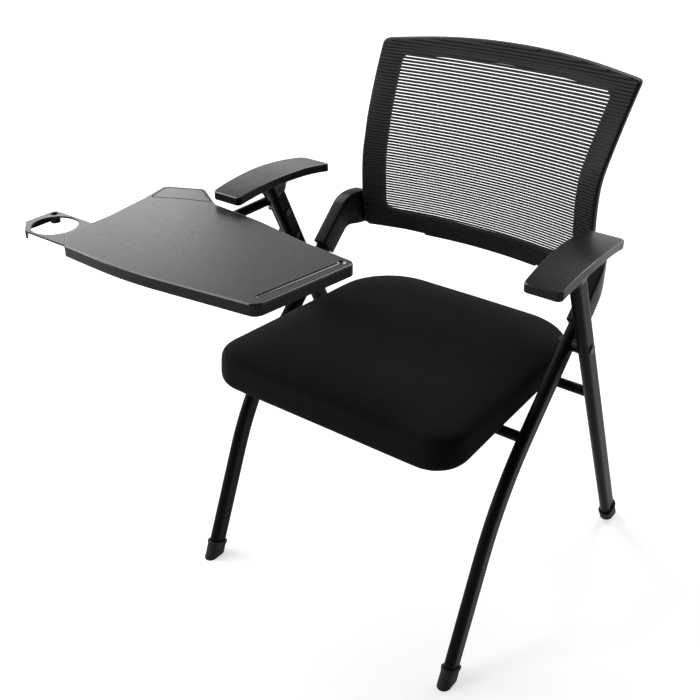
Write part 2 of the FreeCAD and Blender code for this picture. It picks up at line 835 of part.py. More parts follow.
inward = Vector(-1, 0, 0)
outward = Vector(1, 0, 0)
bracket_screw_length = size("bracket_thick") + size("stile_width") * 0.6
clamp_length = size("leg_thick") + size("socket_wall") + 1
clamp_places = [aside(front_high(distance), size("leg_plane") + band_half)
                for distance in clamp_screw_places()]
bracket_bores = [bore_for("BracketBore%d" % index, place, inward, bracket_screw_length + 1)
                 for index, place in enumerate(bracket_screw_places())]
clamp_bores = [bore_for("ClampBore%d" % index, place, inward, clamp_length)
               for index, place in enumerate(clamp_places)]
recesses = [cylinder("BracketRecess%d" % index, seat_bore, size("bracket_thick"), place)
            for index, place in enumerate(bracket_screw_places())]
bracket_holes = fuse([bracket_bore()] + bracket_bores + clamp_bores + recesses, "BracketHoles")
bracket_blank = common([bracket_side(), bracket_plan()], "BracketBlank")
back_bracket_left = node(cut(bracket_blank, bracket_holes, "back_bracket_left"), "back_bracket_left")
mirrored(back_bracket_left, "back_bracket_right")

stile_bores = fuse([bore_for("StileBore%d" % index, place, inward, bracket_screw_length + 1)
                    for index, place in enumerate(bracket_screw_places())], "StileBores")
stile_twins = doc.addObject("Part::Mirroring", "StileBoreTwins")
stile_twins.Source = stile_bores
stile_twins.Normal = outward
node(cut(frame_solid, fuse([stile_bores, stile_twins], "StileHoles"), "back_frame"), "back_frame")
node(mesh_solid, "back_mesh")
bracket_screws = group([screw("BracketScrew%d" % index, place, inward, bracket_screw_length)
                        for index, place in enumerate(bracket_screw_places())], "bracket_screws_left")
mirrored(node(bracket_screws, "bracket_screws_left"), "bracket_screws_right")
clamp_screws = group([clamp_screw("ClampScrew%d" % index, place)
                      for index, place in enumerate(clamp_places)], "clamp_screws_left")
mirrored(node(clamp_screws, "clamp_screws_left"), "clamp_screws_right")


# Arm pads: an arched pad whose flared boss caps the rear leg

leg_end = rear(size("rear_length"))
crest_z = leg_end.z + size("pad_crest")
crest_y = (size("pad_front_y") + size("pad_rear_y")) / 2


def arched(offset):
    # The arch of the pad's top seen from the side, lowered by offset and longer than the pad.
    overrun = size("pad_edge")
    front = Vector(0, size("pad_front_y") - overrun, crest_z - size("pad_front_drop") - offset)
    crest = Vector(0, crest_y, crest_z - offset)
    back = Vector(0, size("pad_rear_y") + overrun, crest_z - size("pad_rear_drop") - offset)
    return front, crest, back


def arm_pad():
    top = arched(0)
    under = arched(size("pad_thick"))
    wire = Part.Wire([Part.Arc(*top).toShape(), Part.LineSegment(top[2], under[2]).toShape(),
                      Part.Arc(*reversed(under)).toShape(), Part.LineSegment(under[0], top[0]).toShape()])
    arch = fixed(Part.Face(wire).extrude(Vector(2 * rear_plane, 0, 0)), "PadArch")
    corner = size("pad_corner")
    inner_front = rear_plane - size("pad_front_inset")
    inner_rear = rear_plane - size("pad_rear_inset")
    front_y = size("pad_front_y")
    rear_y = size("pad_rear_y")
    outer_front = inner_front + size("pad_front_width")
    outer_rear = inner_rear + size("pad_rear_width")
    waist = (inner_front + inner_rear) / 2 - size("pad_waist")
    belly = (outer_front + outer_rear) / 2 + size("pad_belly")
    plan = [(inner_front, front_y, corner), (waist, crest_y, size("pad_waist_radius")),
            (inner_rear, rear_y, corner), (outer_rear, rear_y, size("pad_rear_corner")),
            (belly, crest_y, size("pad_belly_radius")), (outer_front, front_y, corner)]
    plate = common([arch, extrude(outline("PadPlan", [plan]), "2 * Sizes.rear_length")], "PadPlate")
    edge = size("pad_edge")
    smooth = round_edges(plate, edge, lambda at, e: abs(e.tangentAt(e.FirstParameter).z) < 0.5 or
                         e.Length > 2 * size("pad_thick"), "PadSmooth")
    foot = boss_section(rear(size("boss_start")), rear_turn, 0)
    head_at = Vector(0, leg_end.y - size("boss_shift"), crest_z - size("pad_thick") * 0.6)
    head = boss_section(head_at, Rotation(), size("boss_flare"))
    boss = fixed(Part.makeLoft([foot, head], True, True), "PadBoss")
    return fuse([smooth, boss], "PadBlank")


def boss_section(place, turn, flare):
    half_thick = leg_half + size("boss_wall") + flare * 0.35
    half_deep = size("leg_deep") / 2 + size("boss_wall") + flare
    straight = half_deep - half_thick
    corners = [Vector(half_thick, -straight, 0), Vector(half_thick, straight, 0),
               Vector(-half_thick, straight, 0), Vector(-half_thick, -straight, 0)]
    edges = [Part.LineSegment(corners[0], corners[1]).toShape(),
             Part.Arc(corners[1], Vector(0, half_deep, 0), corners[2]).toShape(),
             Part.LineSegment(corners[2], corners[3]).toShape(),
             Part.Arc(corners[3], Vector(0, -half_deep, 0), corners[0]).toShape()]
    wire = Part.Wire(edges)
    wire.Placement = Placement(aside(place, rear_plane), turn)
    return wire


def leg_bore():
    body = doc.addObject("PartDesign::Body", "PadBore")
    body.Placement = Placement(aside(rear(size("tube_start")), rear_plane), rear_turn)
    section = body_sketch(body, "Section", "XY_Plane")
    add_stadium(section, "bore", "Sizes.leg_deep", "Sizes.leg_thick", " + Sizes.running_fit")
    pad_feature(body, section, "Sizes.rear_length - Sizes.tube_start + Sizes.running_fit")
    return body


arm_screw_head = aside(rear(size("arm_screw_at")), rear_plane - leg_half - size("boss_wall"))
arm_screw_length = size("leg_thick") + size("boss_wall")
arm_seat_depth = size("pad_front_inset")
arm_seat_at = arm_screw_head - outward * arm_seat_depth
arm_tools = fuse([leg_bore(), bore_for("ArmScrewBore", arm_screw_head, outward, arm_screw_length),
                  cylinder("ArmScrewSeat", seat_bore, arm_seat_depth, arm_seat_at)], "ArmHoles")
arm_pad_left = node(cut(arm_pad(), arm_tools, "arm_pad_left"), "arm_pad_left")
mirrored(arm_pad_left, "arm_pad_right")
arm_screw = node(screw("arm_screw_left", arm_screw_head, outward, arm_screw_length), "arm_screw_left")
mirrored(arm_screw, "arm_screw_right")


# Seat: a pan hinged on the rear crossbar that rests on the front one

bar_half = size("bar_dia") / 2
pan_bottom = rear_bar.z + bar_half + size("running_fit") + size("hinge_wall")
pan_top = pan_bottom + size("pan_thick")
seat_half = size("leg_plane") - leg_half - size("seat_side_gap")
rim_z = pan_bottom - size("seat_rim_drop")
cushion_steps = 12


def seat_loop(inset):
    front = size("seat_front_y") + inset
    back = size("seat_rear_y") - inset
    half = seat_half - inset
    narrow = half - size("seat_rear_inset")
    front_corner = max(size("seat_front_corner") - inset, size("seat_least_corner"))
    rear_corner = max(size("seat_rear_corner") - inset, size("seat_least_corner"))
    return [(-half, front, front_corner), (half, front, front_corner),
            (narrow, back, rear_corner), (-narrow, back, rear_corner)]


def seat_wire(inset, z):
    # A higher outline leans further, so the top falls towards the rear.
    wire = Part.Wire([edge.toShape() for edge in rounded(seat_loop(inset))])
    wire.translate(Vector(0, 0, z))
    lean = size("seat_fall") * (z - rim_z) / size("seat_height")
    wire.rotate(Vector(0, size("seat_front_y"), z), Vector(1, 0, 0), -lean)
    return wire


def cushion():
    # Drawn in at the rim, fullest low on the sides, then a crown.
    height = size("seat_height")
    wires = []
    for step in range(cushion_steps + 1):
        share = step / cushion_steps
        turn = share * math.pi / 2
        fullest = size("seat_fullest")
        if share < fullest:
            inset = size("seat_draw_in") * (1 - share / fullest) ** 2
        else:
            inset = size("seat_crown") * ((share - fullest) / (1 - fullest)) ** 3
        wires.append(seat_wire(inset, rim_z + height * math.sin(turn) ** 1.2))
    form = fixed(Part.makeLoft(wires, True, True), "CushionForm")
    gap = size("flat_gap")
    hollow = extrude(outline("CushionHollow", [seat_loop(size("pan_inset") - gap)],
                             Vector(0, 0, rim_z - 1)), "%f" % (pan_top + gap - rim_z + 1))
    return cut(form, hollow, "seat_cushion")


def seat_hinge(label):
    # A block bored for the rear crossbar, closed under the pan.
    wall = size("hinge_wall")
    radius = bar_half + wall * 0.6
    y = rear_bar.y
    top = pan_bottom
    low = rear_bar.z - radius
    foot = radius + size("hinge_flare")
    points = [(y - radius, low, radius * 0.9), (y + radius, low, radius * 0.9),
              (y + foot, top, 1.5), (y - foot, top, 1.5)]
    sketch = outline(label + "Side", [points], Vector(size("hinge_at"), 0, 0), upright)
    block = extrude(sketch, "Sizes.hinge_width", symmetric=True)
    start = Vector(size("hinge_at") - size("hinge_width"), rear_bar.y, rear_bar.z)
    bore = cylinder(label + "Bore", "Sizes.bar_dia + 2 * Sizes.running_fit", 2 * size("hinge_width"), start)
    return cut(block, bore, label)


def seat_saddle(label):
    # A pad under the pan, hollowed to sit over the front crossbar.
    half = size("saddle_depth") / 2
    y = front_bar.y
    low = front_bar.z + bar_half * 0.3
    points = [(y - half, low, 2), (y + half, low, 2), (y + half, pan_bottom, 1), (y - half, pan_bottom, 1)]
    sketch = outline(label + "Side", [points], Vector(size("hinge_at"), 0, 0), upright)
    block = extrude(sketch, "Sizes.saddle_width", symmetric=True)
    start = Vector(size("hinge_at") - size("saddle_width"), front_bar.y, front_bar.z)
    groove = cylinder(label + "Groove", "Sizes.bar_dia + 2 * Sizes.flat_gap",
                      2 * size("saddle_width"), start)
    return cut(block, groove, label)


def seat_screw_places():
    # One screw before and one behind each bar, up through block and pan.
    places = []
    hinge_reach = bar_half + size("hinge_wall") * 0.6 + 1
    saddle_reach = size("saddle_depth") / 2 - size("screw_dia")
    rows = ((rear_bar, hinge_reach, pan_bottom - size("hinge_flange")),
            (front_bar, saddle_reach, front_bar.z + bar_half * 0.3))
    for bar, reach, low in rows:
        places += [Vector(size("hinge_at"), bar.y + side * reach, low) for side in (-1, 1)]
    return places


seat_bores = []
seat_screws = []
for index, place in enumerate(seat_screw_places()):
    length = pan_top - 2 - place.z
    seat_bores.append((place, bore_for("SeatBore%d" % index, place, up, length)))
    seat_screws.append(screw("SeatScrew%d" % index, place, up, length))

pan_blank = extrude(outline("PanOutline", [seat_loop(size("pan_inset"))], Vector(0, 0, pan_bottom)),
                    "Sizes.pan_thick")
pan_holes = fuse([bore for place, bore in seat_bores], "PanHoles")
pan_hole_twins = doc.addObject("Part::Mirroring", "PanHoleTwins")
pan_hole_twins.Source = pan_holes
pan_hole_twins.Normal = outward
node(cut(pan_blank, fuse([pan_holes, pan_hole_twins], "PanAllHoles"), "seat_pan"), "seat_pan")
node(cushion(), "seat_cushion")


def counterbored(blank, pairs, label):
    tools = []
    depth = 2 * size("bar_dia")
    for place, bore in pairs:
        tools.append(bore)
        tools.append(cylinder(label + "Seat", seat_bore, depth, place - up * depth, Rotation()))
    return cut(blank, fuse(tools, label + "Holes"), label)


hinge = counterbored(seat_hinge("SeatHinge"), seat_bores[:2], "seat_hinge_left")
mirrored(node(hinge, "seat_hinge_left"), "seat_hinge_right")
saddle = counterbored(seat_saddle("SeatSaddle"), seat_bores[2:], "seat_saddle_left")
mirrored(node(saddle, "seat_saddle_left"), "seat_saddle_right")
mirrored(node(group(seat_screws, "seat_screws_left"), "seat_screws_left"), "seat_screws_right")


# Tablet arm: a bent round tube bolted to the outside of the right rear leg

arm_half = size("arm_dia") / 2
arm_x = -(rear_plane + leg_half + arm_half + size("flat_gap"))
arm_corner = rear(size("arm_corner"))
run_z = arm_corner.z


def tablet_arm():
    body = doc.addObject("PartDesign::Body", "TabletArm")
    start = aside(rear(size("arm_tail")), arm_x)
    body.Placement = Placement(start, rear_turn)
    ring_sketch = body_sketch(body, "Ring", "XY_Plane")
    add_circle(ring_sketch, "outer", "Sizes.arm_dia")
    add_circle(ring_sketch, "inner", "Sizes.arm_dia - 2 * Sizes.arm_wall")
    spine = body_sketch(body, "Path", "YZ_Plane")
    turn = math.radians(90 - size("rear_lean"))
    radius = size("arm_bend_radius")
    setback = radius * math.tan(turn / 2)
    rise = size("arm_corner") - size("arm_tail")
    forward = arm_corner.y - size("arm_front_y")
    way = Vector(-math.sin(turn), math.cos(turn), 0)
    low_end = Vector(0, rise - setback, 0)
    run_start = Vector(0, rise, 0) + way * setback
    run_end = Vector(0, rise, 0) + way * forward
    circle = Part.Circle(low_end + Vector(-radius, 0, 0), Vector(0, 0, 1), radius)
    low = spine.addGeometry(Part.LineSegment(Vector(0, 0, 0), low_end))
    curve = spine.addGeometry(Part.ArcOfCircle(circle, 0, turn))
    run = spine.addGeometry(Part.LineSegment(run_start, run_end))
    spine.addConstraint(Sketcher.Constraint("Coincident", low, 1, -1, 1))
    spine.addConstraint(Sketcher.Constraint("Vertical", low))
    spine.addConstraint(Sketcher.Constraint("Tangent", low, 2, curve, 1))
    spine.addConstraint(Sketcher.Constraint("Tangent", curve, 2, run, 1))
    bend = spine.addConstraint(Sketcher.Constraint("Radius", curve, radius))
    spine.renameConstraint(bend, "bend_radius")
    spine.setExpression("Constraints.bend_radius", "Sizes.arm_bend_radius")
    spine.addConstraint(Sketcher.Constraint("DistanceX", -1, 1, run, 2, run_end.x))
    spine.addConstraint(Sketcher.Constraint("DistanceY", -1, 1, run, 2, run_end.y))
    spine.addConstraint(Sketcher.Constraint("Distance", low, rise - setback))
    pipe = body.newObject("PartDesign::AdditivePipe", "Tube")
    pipe.Profile = ring_sketch
    pipe.Spine = (spine, ["Edge1", "Edge2", "Edge3"])
    doc.recompute()
    for index, alias in enumerate(("arm_bolt_upper", "arm_bolt_lower")):
        local = body.Placement.inverse().multVec(aside(rear(size(alias)), arm_x))
        cross_hole(body, "BoltHole%d" % index, arm_bolt_hole, local.y, local.z)
    return node(body, "tablet_arm")


def arm_bolt(name, alias):
    inner = -(rear_plane - leg_half)
    outer = arm_x - arm_half
    head_at = aside(rear(size(alias)), inner)
    length = inner - outer + size("arm_bolt_dia")
    return screw(name, head_at, inward, length, "Sizes.arm_bolt_dia")


def arm_nut(name, alias):
    height = size("arm_bolt_dia") * 0.8
    base = aside(rear(size(alias)), arm_x - arm_half - height)
    return hex_nut(name, "(Sizes.arm_bolt_dia * 1.7)", arm_bolt_hole, height, base)


def arm_plug():
    backward = Rotation(Vector(1, 0, 0), -90)
    front = Vector(arm_x, size("arm_front_y"), run_z)
    thick = size("plug_cap")
    tight = "Sizes.arm_dia - 2 * Sizes.arm_wall - 2 * Sizes.screw_fit"
    spigot = cylinder("PlugSpigot", tight, size("plug_length"), front, backward)
    cap_at = front - Vector(0, thick, 0)
    cap = cylinder("PlugCap", "Sizes.arm_dia + 2 * Sizes.plug_overhang", thick, cap_at, backward)
    blank = fuse([spigot, cap], "PlugBlank")
    outer_rim = cap_at.y + 0.01
    return round_edges(blank, size("plug_overhang"), lambda at, edge: at.y < outer_rim, "tablet_arm_plug")


tablet_arm()
node(group([arm_bolt("ArmBoltUpper", "arm_bolt_upper"), arm_bolt("ArmBoltLower", "arm_bolt_lower")],
           "tablet_arm_bolts"), "tablet_arm_bolts")
node(group([arm_nut("ArmNutUpper", "arm_bolt_upper"), arm_nut("ArmNutLower", "arm_bolt_lower")],
           "tablet_arm_nuts"), "tablet_arm_nuts")
node(arm_plug(), "tablet_arm_plug")


# Tablet: a moulded top with a skirt, closed below, on two bored blocks

tablet_bottom = run_z + arm_half + size("tablet_rise")
tablet_top = tablet_bottom + size("tablet_thick")
cavity_top = tablet_top - size("tablet_plate")
tablet_left = -size("tablet_side")
near_edge = -size("tablet_front")
chamfer_at = size("chamfer_at")
cup_near = -size("cup_near")
cup_far = cup_near + size("cup_width")

# Outlines as (x from the hinge line, y from the tablet's datum, corner radius)
tablet_corners = [
    (tablet_left, chamfer_at, 4), (tablet_left + size("chamfer_width"), near_edge, 6),
    (60, near_edge - 6, 700), (282, 5, 16), (308, 191, 14), (192, 205, 260), (98, 224, 260),
    (-5, 234, 14), (-66, 273, 12), (-131, 243, 12), (-118, 182, 40), (tablet_left, 96, 160)]
tray_corners = [(-112, 192, 6), (-60, 218, 60), (-14, 235, 3), (-66, 267, 9), (-124, 239, 9)]
groove_ends = (Vector(266, 28, 0), Vector(290, 177, 0))


def on_tablet(x, y, z):
    # A point given from the hinge line and the tablet's datum.
    return Vector(arm_x + x, size("tablet_front_y") + y, z)


def inset_outline(name, source, distance, z):
    doc.recompute()
    wire = source.Shape.Wires[0].makeOffset2D(-distance)
    wire.translate(Vector(0, 0, z - source.Placement.Base.z))
    return fixed(wire, name)


def solid_of(wire, height, name):
    doc.recompute()
    return fixed(Part.Face(wire.Shape.Wires[0]).extrude(Vector(0, 0, height)), name)


def dished(width, depth):
    # Radius of the arc that is so wide and so deep.
    return (width ** 2 / 4 + depth ** 2) / (2 * depth)


def ball(name, radius, centre):
    sphere = doc.addObject("Part::Sphere", name)
    sphere.Radius = radius
    sphere.Placement.Base = centre
    return sphere


def pen_groove():
    # A round-bottomed channel with a round near end and a wider scoop at the far one.
    radius = dished(size("pen_groove_width"), size("pen_groove_depth"))
    scoop = dished(size("pen_scoop_width"), size("pen_scoop_depth"))
    start, end = [on_tablet(place.x, place.y, tablet_top - size("pen_groove_depth") + radius)
                  for place in groove_ends]
    run = end - start
    channel = cylinder("PenChannel", 2 * radius, run.Length, start, Rotation(up, run))
    scoop_at = Vector(end.x, end.y, tablet_top - size("pen_scoop_depth") + scoop)
    return fuse([channel, ball("PenEnd", radius, start), ball("PenScoop", scoop, scoop_at)], "PenGroove")


def tablet_shell():
    plan = outline("TabletPlan", [tablet_corners], on_tablet(0, 0, tablet_bottom))
    blank = extrude(plan, "Sizes.tablet_thick")
    smooth = round_edges(blank, size("tablet_edge"),
                         lambda at, edge: at.z > tablet_top - 0.01, "TabletSmooth")
    inner = inset_outline("TabletInner", plan, size("tablet_wall"), tablet_bottom - 1)
    hollow = solid_of(inner, size("tablet_thick") - size("tablet_plate") + 1, "TabletHollow")
    tray_floor = on_tablet(0, 0, tablet_top - size("tray_depth"))
    tray_plan = outline("TrayPlan", [tray_corners], tray_floor)
    island = inset_outline("TrayIsland", tray_plan, size("tray_line"), tray_floor.z)
    tray = cut(extrude(tray_plan, "2 * Sizes.tray_depth"),
               solid_of(island, 2 * size("tray_depth"), "TrayFloor"), "TrayLine")
    margin = size("chamfer_width")
    mouth = box("CupMouth", 2 * margin + size("tablet_wall"), size("cup_width") + 2 * size("flat_gap"),
                cavity_top - tablet_bottom + 1,
                on_tablet(tablet_left - margin, cup_near - size("flat_gap"), tablet_bottom - 1))
    shell = cut(smooth, fuse([hollow, pen_groove(), tray, mouth], "TabletCuts"), "tablet_top")
    return plan, node(shell, "tablet_top")


tablet_plan, tablet_shell_node = tablet_shell()
cup_under = cavity_top - size("flat_gap") - size("cup_plate")
block_sides = (-size("block_screw_at"), size("block_screw_at"))
block_places = [(x, y) for y in (size("block_front_at"), size("block_rear_at")) for x in block_sides]
block_bottom = run_z - size("block_drop")
base_top = tablet_bottom + size("tablet_base")
block_screw_length = base_top + size("base_boss_height") - 1 - block_bottom


def tablet_base():
    # The closing plate, with rails that carry the cup ring and bosses for the screws.
    inner = inset_outline("BaseInner", tablet_plan, size("tablet_wall") + size("screw_fit"), tablet_bottom)
    plate = solid_of(inner, size("tablet_base"), "BasePlate")
    gap = size("flat_gap")
    notch = box("BaseNotch", size("cup_notch"), size("cup_width") + 2 * gap, 2 * size("tablet_base"),
                on_tablet(tablet_left - 1, cup_near - gap, tablet_bottom - 1))
    rail = size("cup_rail_width")
    rail_x = tablet_left + size("cup_rail_at")
    rails = [box("CupRail%d" % index, size("cup_rail_length"), rail, cup_under - gap - base_top,
                 on_tablet(rail_x, y, base_top))
             for index, y in enumerate((cup_near + 1, cup_far - 1 - rail))]
    bosses = [cylinder("BaseBoss%d" % index, "2.4 * Sizes.screw_dia", size("base_boss_height"),
                       on_tablet(x, y, base_top), Rotation())
              for index, (x, y) in enumerate(block_places)]
    holes = [bore_for("BaseBore%d" % index, on_tablet(x, y, block_bottom), up, block_screw_length)
             for index, (x, y) in enumerate(block_places)]
    blank = fuse([cut(plate, notch, "BaseNotched")] + rails + bosses, "BaseBlank")
    return node(cut(blank, fuse(holes, "BaseHoles"), "tablet_base"), "tablet_base")


def hinge_block(label, y):
    half = size("block_width") / 2
    narrow = half - size("block_taper")
    corner = size("block_corner")
    points = [(-narrow, block_bottom, corner), (narrow, block_bottom, corner),
              (half, tablet_bottom, 2), (-half, tablet_bottom, 2)]
    sketch = outline(label + "End", [points], on_tablet(0, y, 0), facing)
    block = extrude(sketch, "Sizes.block_length", symmetric=True)
    start = on_tablet(0, y + size("block_length"), run_z)
    bore = cylinder(label + "Bore", "Sizes.arm_dia + 2 * Sizes.running_fit",
                    2 * size("block_length"), start, facing)
    holes = [bore_for(label + "Hole%d" % index, on_tablet(x, y, block_bottom), up, block_screw_length)
             for index, x in enumerate(block_sides)]
    return node(cut(block, fuse([bore] + holes, label + "Bores"), label), label)


tablet_base()
hinge_block("tablet_block_front", size("block_front_at"))
hinge_block("tablet_block_rear", size("block_rear_at"))
node(group([screw("BlockScrew%d" % index, on_tablet(x, y, block_bottom), up, block_screw_length)
            for index, (x, y) in enumerate(block_places)], "tablet_screws"), "tablet_screws")


# Cup ring: a plate with a hole for the cup, drawn out of the tablet's side

def cup_ring():
    outer = tablet_left - size("cup_reach")
    inner = tablet_left + size("cup_tongue")
    slant = size("chamfer_width") / (chamfer_at - near_edge)
    chamfer_x = outer + slant * (chamfer_at - cup_near)
    corner = size("cup_corner")
    edge = size("cup_edge")
    plate_points = [(outer, chamfer_at, edge), (chamfer_x, cup_near, edge), (inner, cup_near, edge),
                    (inner, cup_far, edge), (outer, cup_far, corner)]
    plate = extrude(outline("CupPlate", [plate_points], on_tablet(0, 0, cup_under)), "Sizes.cup_plate")
    wall = size("cup_plate")
    way = Vector(chamfer_x - outer, cup_near - chamfer_at, 0).normalize()
    flange_points = [(outer, cup_far - corner, 0.5), (outer, chamfer_at, edge), (chamfer_x, cup_near, 0.5),
                     (chamfer_x - way.y * wall, cup_near + way.x * wall, 0.5),
                     (outer + wall, chamfer_at + way.x * wall, edge / 2),
                     (outer + wall, cup_far - corner, 0.5)]
    flange_at = on_tablet(0, 0, cup_under - size("cup_flange"))
    flange = extrude(outline("CupFlange", [flange_points], flange_at), "Sizes.cup_flange + 1")
    below = cup_under - 1
    through = size("cup_plate") + 2
    centre = on_tablet(tablet_left - size("cup_centre"), (cup_near + cup_far) / 2, below)
    cup_bore = cylinder("CupBore", "Sizes.cup_dia", through, centre, Rotation())
    pen_at = on_tablet(outer + size("pen_hole_at"), cup_far - size("pen_hole_at"), flange_at.z)
    socket = cylinder("PenSocket", "Sizes.pen_hole_dia + 2 * Sizes.pen_wall", size("cup_flange") + 1,
                      pen_at, Rotation())
    pen_bore = cylinder("PenBore", "Sizes.pen_hole_dia", size("cup_flange") + through,
                        pen_at - Vector(0, 0, 1), Rotation())
    blank = fuse([plate, flange, socket], "CupBlank")
    return node(cut(blank, fuse([cup_bore, pen_bore], "CupBores"), "cup_ring"), "cup_ring")


cup_ring()
doc.recompute()

# Every feature has to be sound before any sub-part is written.
for obj in doc.Objects:
    if "Invalid" in obj.State or "Error" in obj.State:
        raise RuntimeError("%s (%s) failed: %s" % (obj.Name, obj.Label, obj.State))
for obj in nodes:
    if obj.Shape.isNull() or not obj.Shape.isValid() or not obj.Shape.Solids:
        raise RuntimeError("%s has no sound solid" % obj.Label)

os.makedirs("parts", exist_ok=True)
for obj in nodes:
    obj.Shape.exportStep("parts/%s.step" % obj.Label)
    bounds = obj.Shape.BoundBox
    print("%-22s %d solid(s) %10.1f mm3  x %7.1f %7.1f  y %7.1f %7.1f  z %6.1f %6.1f" % (
        obj.Label, len(obj.Shape.Solids), obj.Shape.Volume, bounds.XMin, bounds.XMax,
        bounds.YMin, bounds.YMax, bounds.ZMin, bounds.ZMax))
print("%d nodes, fold pivot at y %.2f z %.2f, rear bar at y %.2f z %.2f, arm run at x %.2f z %.2f" % (
    len(nodes), pivot.y, pivot.z, rear_bar.y, rear_bar.z, arm_x, run_z))
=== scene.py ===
import json
import math
import bmesh
import bpy
import numpy as np
from mathutils import Matrix, Vector


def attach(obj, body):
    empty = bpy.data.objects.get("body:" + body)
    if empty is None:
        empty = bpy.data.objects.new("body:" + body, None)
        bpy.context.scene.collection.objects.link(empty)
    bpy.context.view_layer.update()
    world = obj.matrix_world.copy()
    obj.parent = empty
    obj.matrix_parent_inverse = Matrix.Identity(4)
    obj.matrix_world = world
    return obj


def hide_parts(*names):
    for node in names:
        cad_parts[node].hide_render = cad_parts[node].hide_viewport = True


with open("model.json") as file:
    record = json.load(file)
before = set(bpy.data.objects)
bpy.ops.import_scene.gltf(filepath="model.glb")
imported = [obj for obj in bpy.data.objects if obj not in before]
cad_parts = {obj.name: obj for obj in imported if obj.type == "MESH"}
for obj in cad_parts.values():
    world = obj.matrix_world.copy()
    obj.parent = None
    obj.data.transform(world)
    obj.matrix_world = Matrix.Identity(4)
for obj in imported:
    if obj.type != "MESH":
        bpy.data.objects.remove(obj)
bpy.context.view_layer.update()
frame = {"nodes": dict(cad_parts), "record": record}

scene = bpy.context.scene
scene.view_settings.view_transform = "Standard"
mm = 0.001
sameSpot = 1e-7  # metres


# Shader nodes

class Wire:
    # One output socket. Sums and products written on it become Math nodes.
    def __init__(self, tree, socket):
        self.tree, self.socket = tree, socket

    def maths(self, operation, *values):
        return self.tree.node("ShaderNodeMath", {"operation": operation}, dict(enumerate(values)))

    def __add__(self, other):
        return self.maths("ADD", self, other)

    def __sub__(self, other):
        return self.maths("SUBTRACT", self, other)

    def __rsub__(self, other):
        return self.maths("SUBTRACT", other, self)

    def __mul__(self, other):
        return self.maths("MULTIPLY", self, other)

    __radd__, __rmul__ = __add__, __mul__


class Tree:
    # A node tree of a material or of the world, cleared first.
    def __init__(self, owner):
        owner.use_nodes = True
        self.owner, self.nodes, self.links = owner, owner.node_tree.nodes, owner.node_tree.links
        self.nodes.clear()

    def node(self, kind, settings={}, values={}, output=0):
        made = self.nodes.new(kind)
        for key, value in settings.items():
            setattr(made, key, value)
        for key, value in values.items():
            if isinstance(value, Wire):
                self.links.new(value.socket, made.inputs[key])
            else:
                made.inputs[key].default_value = value
        return Wire(self, made.outputs[output]) if len(made.outputs) else made

    def place(self, turn=(0, 0, 0)):
        # Object coordinates, which are metres in the chair's own frame.
        at = self.node("ShaderNodeTexCoord", output="Object")
        return self.node("ShaderNodeMapping", {}, {"Vector": at, "Rotation": turn})

    def tone(self, share, look):
        # From the look's dark grey to its light one, by share.
        dark, light = (grey(look[level], look["cool"]) for level in ("dark", "light"))
        return self.node("ShaderNodeMix", {"data_type": "RGBA"}, {0: share, 6: dark, 7: light}, 2)

    def noise(self, at, scale, detail=2.0):
        return self.node("ShaderNodeTexNoise", {}, {"Vector": at, "Scale": scale, "Detail": detail}, "Fac")

    def eased(self, value, start, end, first, last):
        # First up to start and last from end on, with a smooth step between.
        return self.node("ShaderNodeMapRange", {"interpolation_type": "SMOOTHSTEP"}, {
            "Value": value, "From Min": start, "From Max": end, "To Min": first, "To Max": last})

    def bump(self, height, strength, distance):
        return self.node("ShaderNodeBump", {}, {"Height": height, "Strength": strength, "Distance": distance})

    def surface(self, values):
        shader = self.node("ShaderNodeBsdfPrincipled", {}, values)
        self.node("ShaderNodeOutputMaterial", {}, {"Surface": shader})
        return self.owner


def finish(name):
    return Tree(bpy.data.materials.new(name))


# Finishes: each varies a little in colour and gloss, over a fine relief

def grey(level, cool):
    # A near black, towards blue where cool is above nought and towards brown below it.
    return (level * (1 - cool), level, level * (1 + cool), 1)


def powderCoat():
    # Orange peel, with a faint cloudiness in the colour.
    look = {"dark": 0.006, "light": 0.009, "cool": -0.03, "clouds": 14, "gloss": 0.32, "drift": 0.12,
            "shine": 0.035, "peel": 900, "relief": 0.12, "depth": 0.0006}
    tree = finish("powder_coat")
    at = tree.place()
    peel = tree.noise(at, look["peel"], 3)
    return tree.surface({
        "Base Color": tree.tone(tree.noise(at, look["clouds"]), look),
        "Roughness": look["gloss"] + look["drift"] * (peel - 0.5), "Specular IOR Level": look["shine"],
        "Normal": tree.bump(peel, look["relief"], look["depth"])})


# What every moulded plastic shares; upright and level are the tilts between which an edge is burnished.
moulding = {"clouds": 9, "smears": 80, "smearRelief": 0.8, "pitDrift": 0.1, "pitMean": 0.3, "depth": 0.0006,
            "upright": (0.1, 0.35), "level": (0.9, 0.98), "edgeGloss": 0.15}


def mouldedPlastic(name, look):
    # Fine spark-eroded pits, with a gloss that drifts where hands have rubbed it, and edges burnished where
    # the surface turns from flat to upright.
    m = moulding
    tree = finish(name)
    at = tree.place()
    facing = tree.node("ShaderNodeTexCoord", output="Normal")
    upward = tree.node("ShaderNodeSeparateXYZ", {}, {0: facing}, "Z")
    turned = tree.eased(upward, *m["upright"], 0, 1) * tree.eased(upward, *m["level"], 1, 0)
    pits = tree.node("ShaderNodeTexVoronoi", {"feature": "SMOOTH_F1"}, {"Vector": at, "Scale": look["grain"]})
    smears = tree.noise(at, m["smears"], 5)
    rubbed = look["handled"] * (smears - 0.5)
    return tree.surface({
        "Base Color": tree.tone(tree.noise(at, m["clouds"], 3), look),
        "Roughness": look["gloss"] + m["pitDrift"] * (pits - m["pitMean"]) + rubbed,
        "Specular IOR Level": look["shine"],
        "Coat Weight": look["burnish"] * turned, "Coat Roughness": m["edgeGloss"],
        "Normal": tree.bump(pits + m["smearRelief"] * smears, look["relief"], m["depth"])})


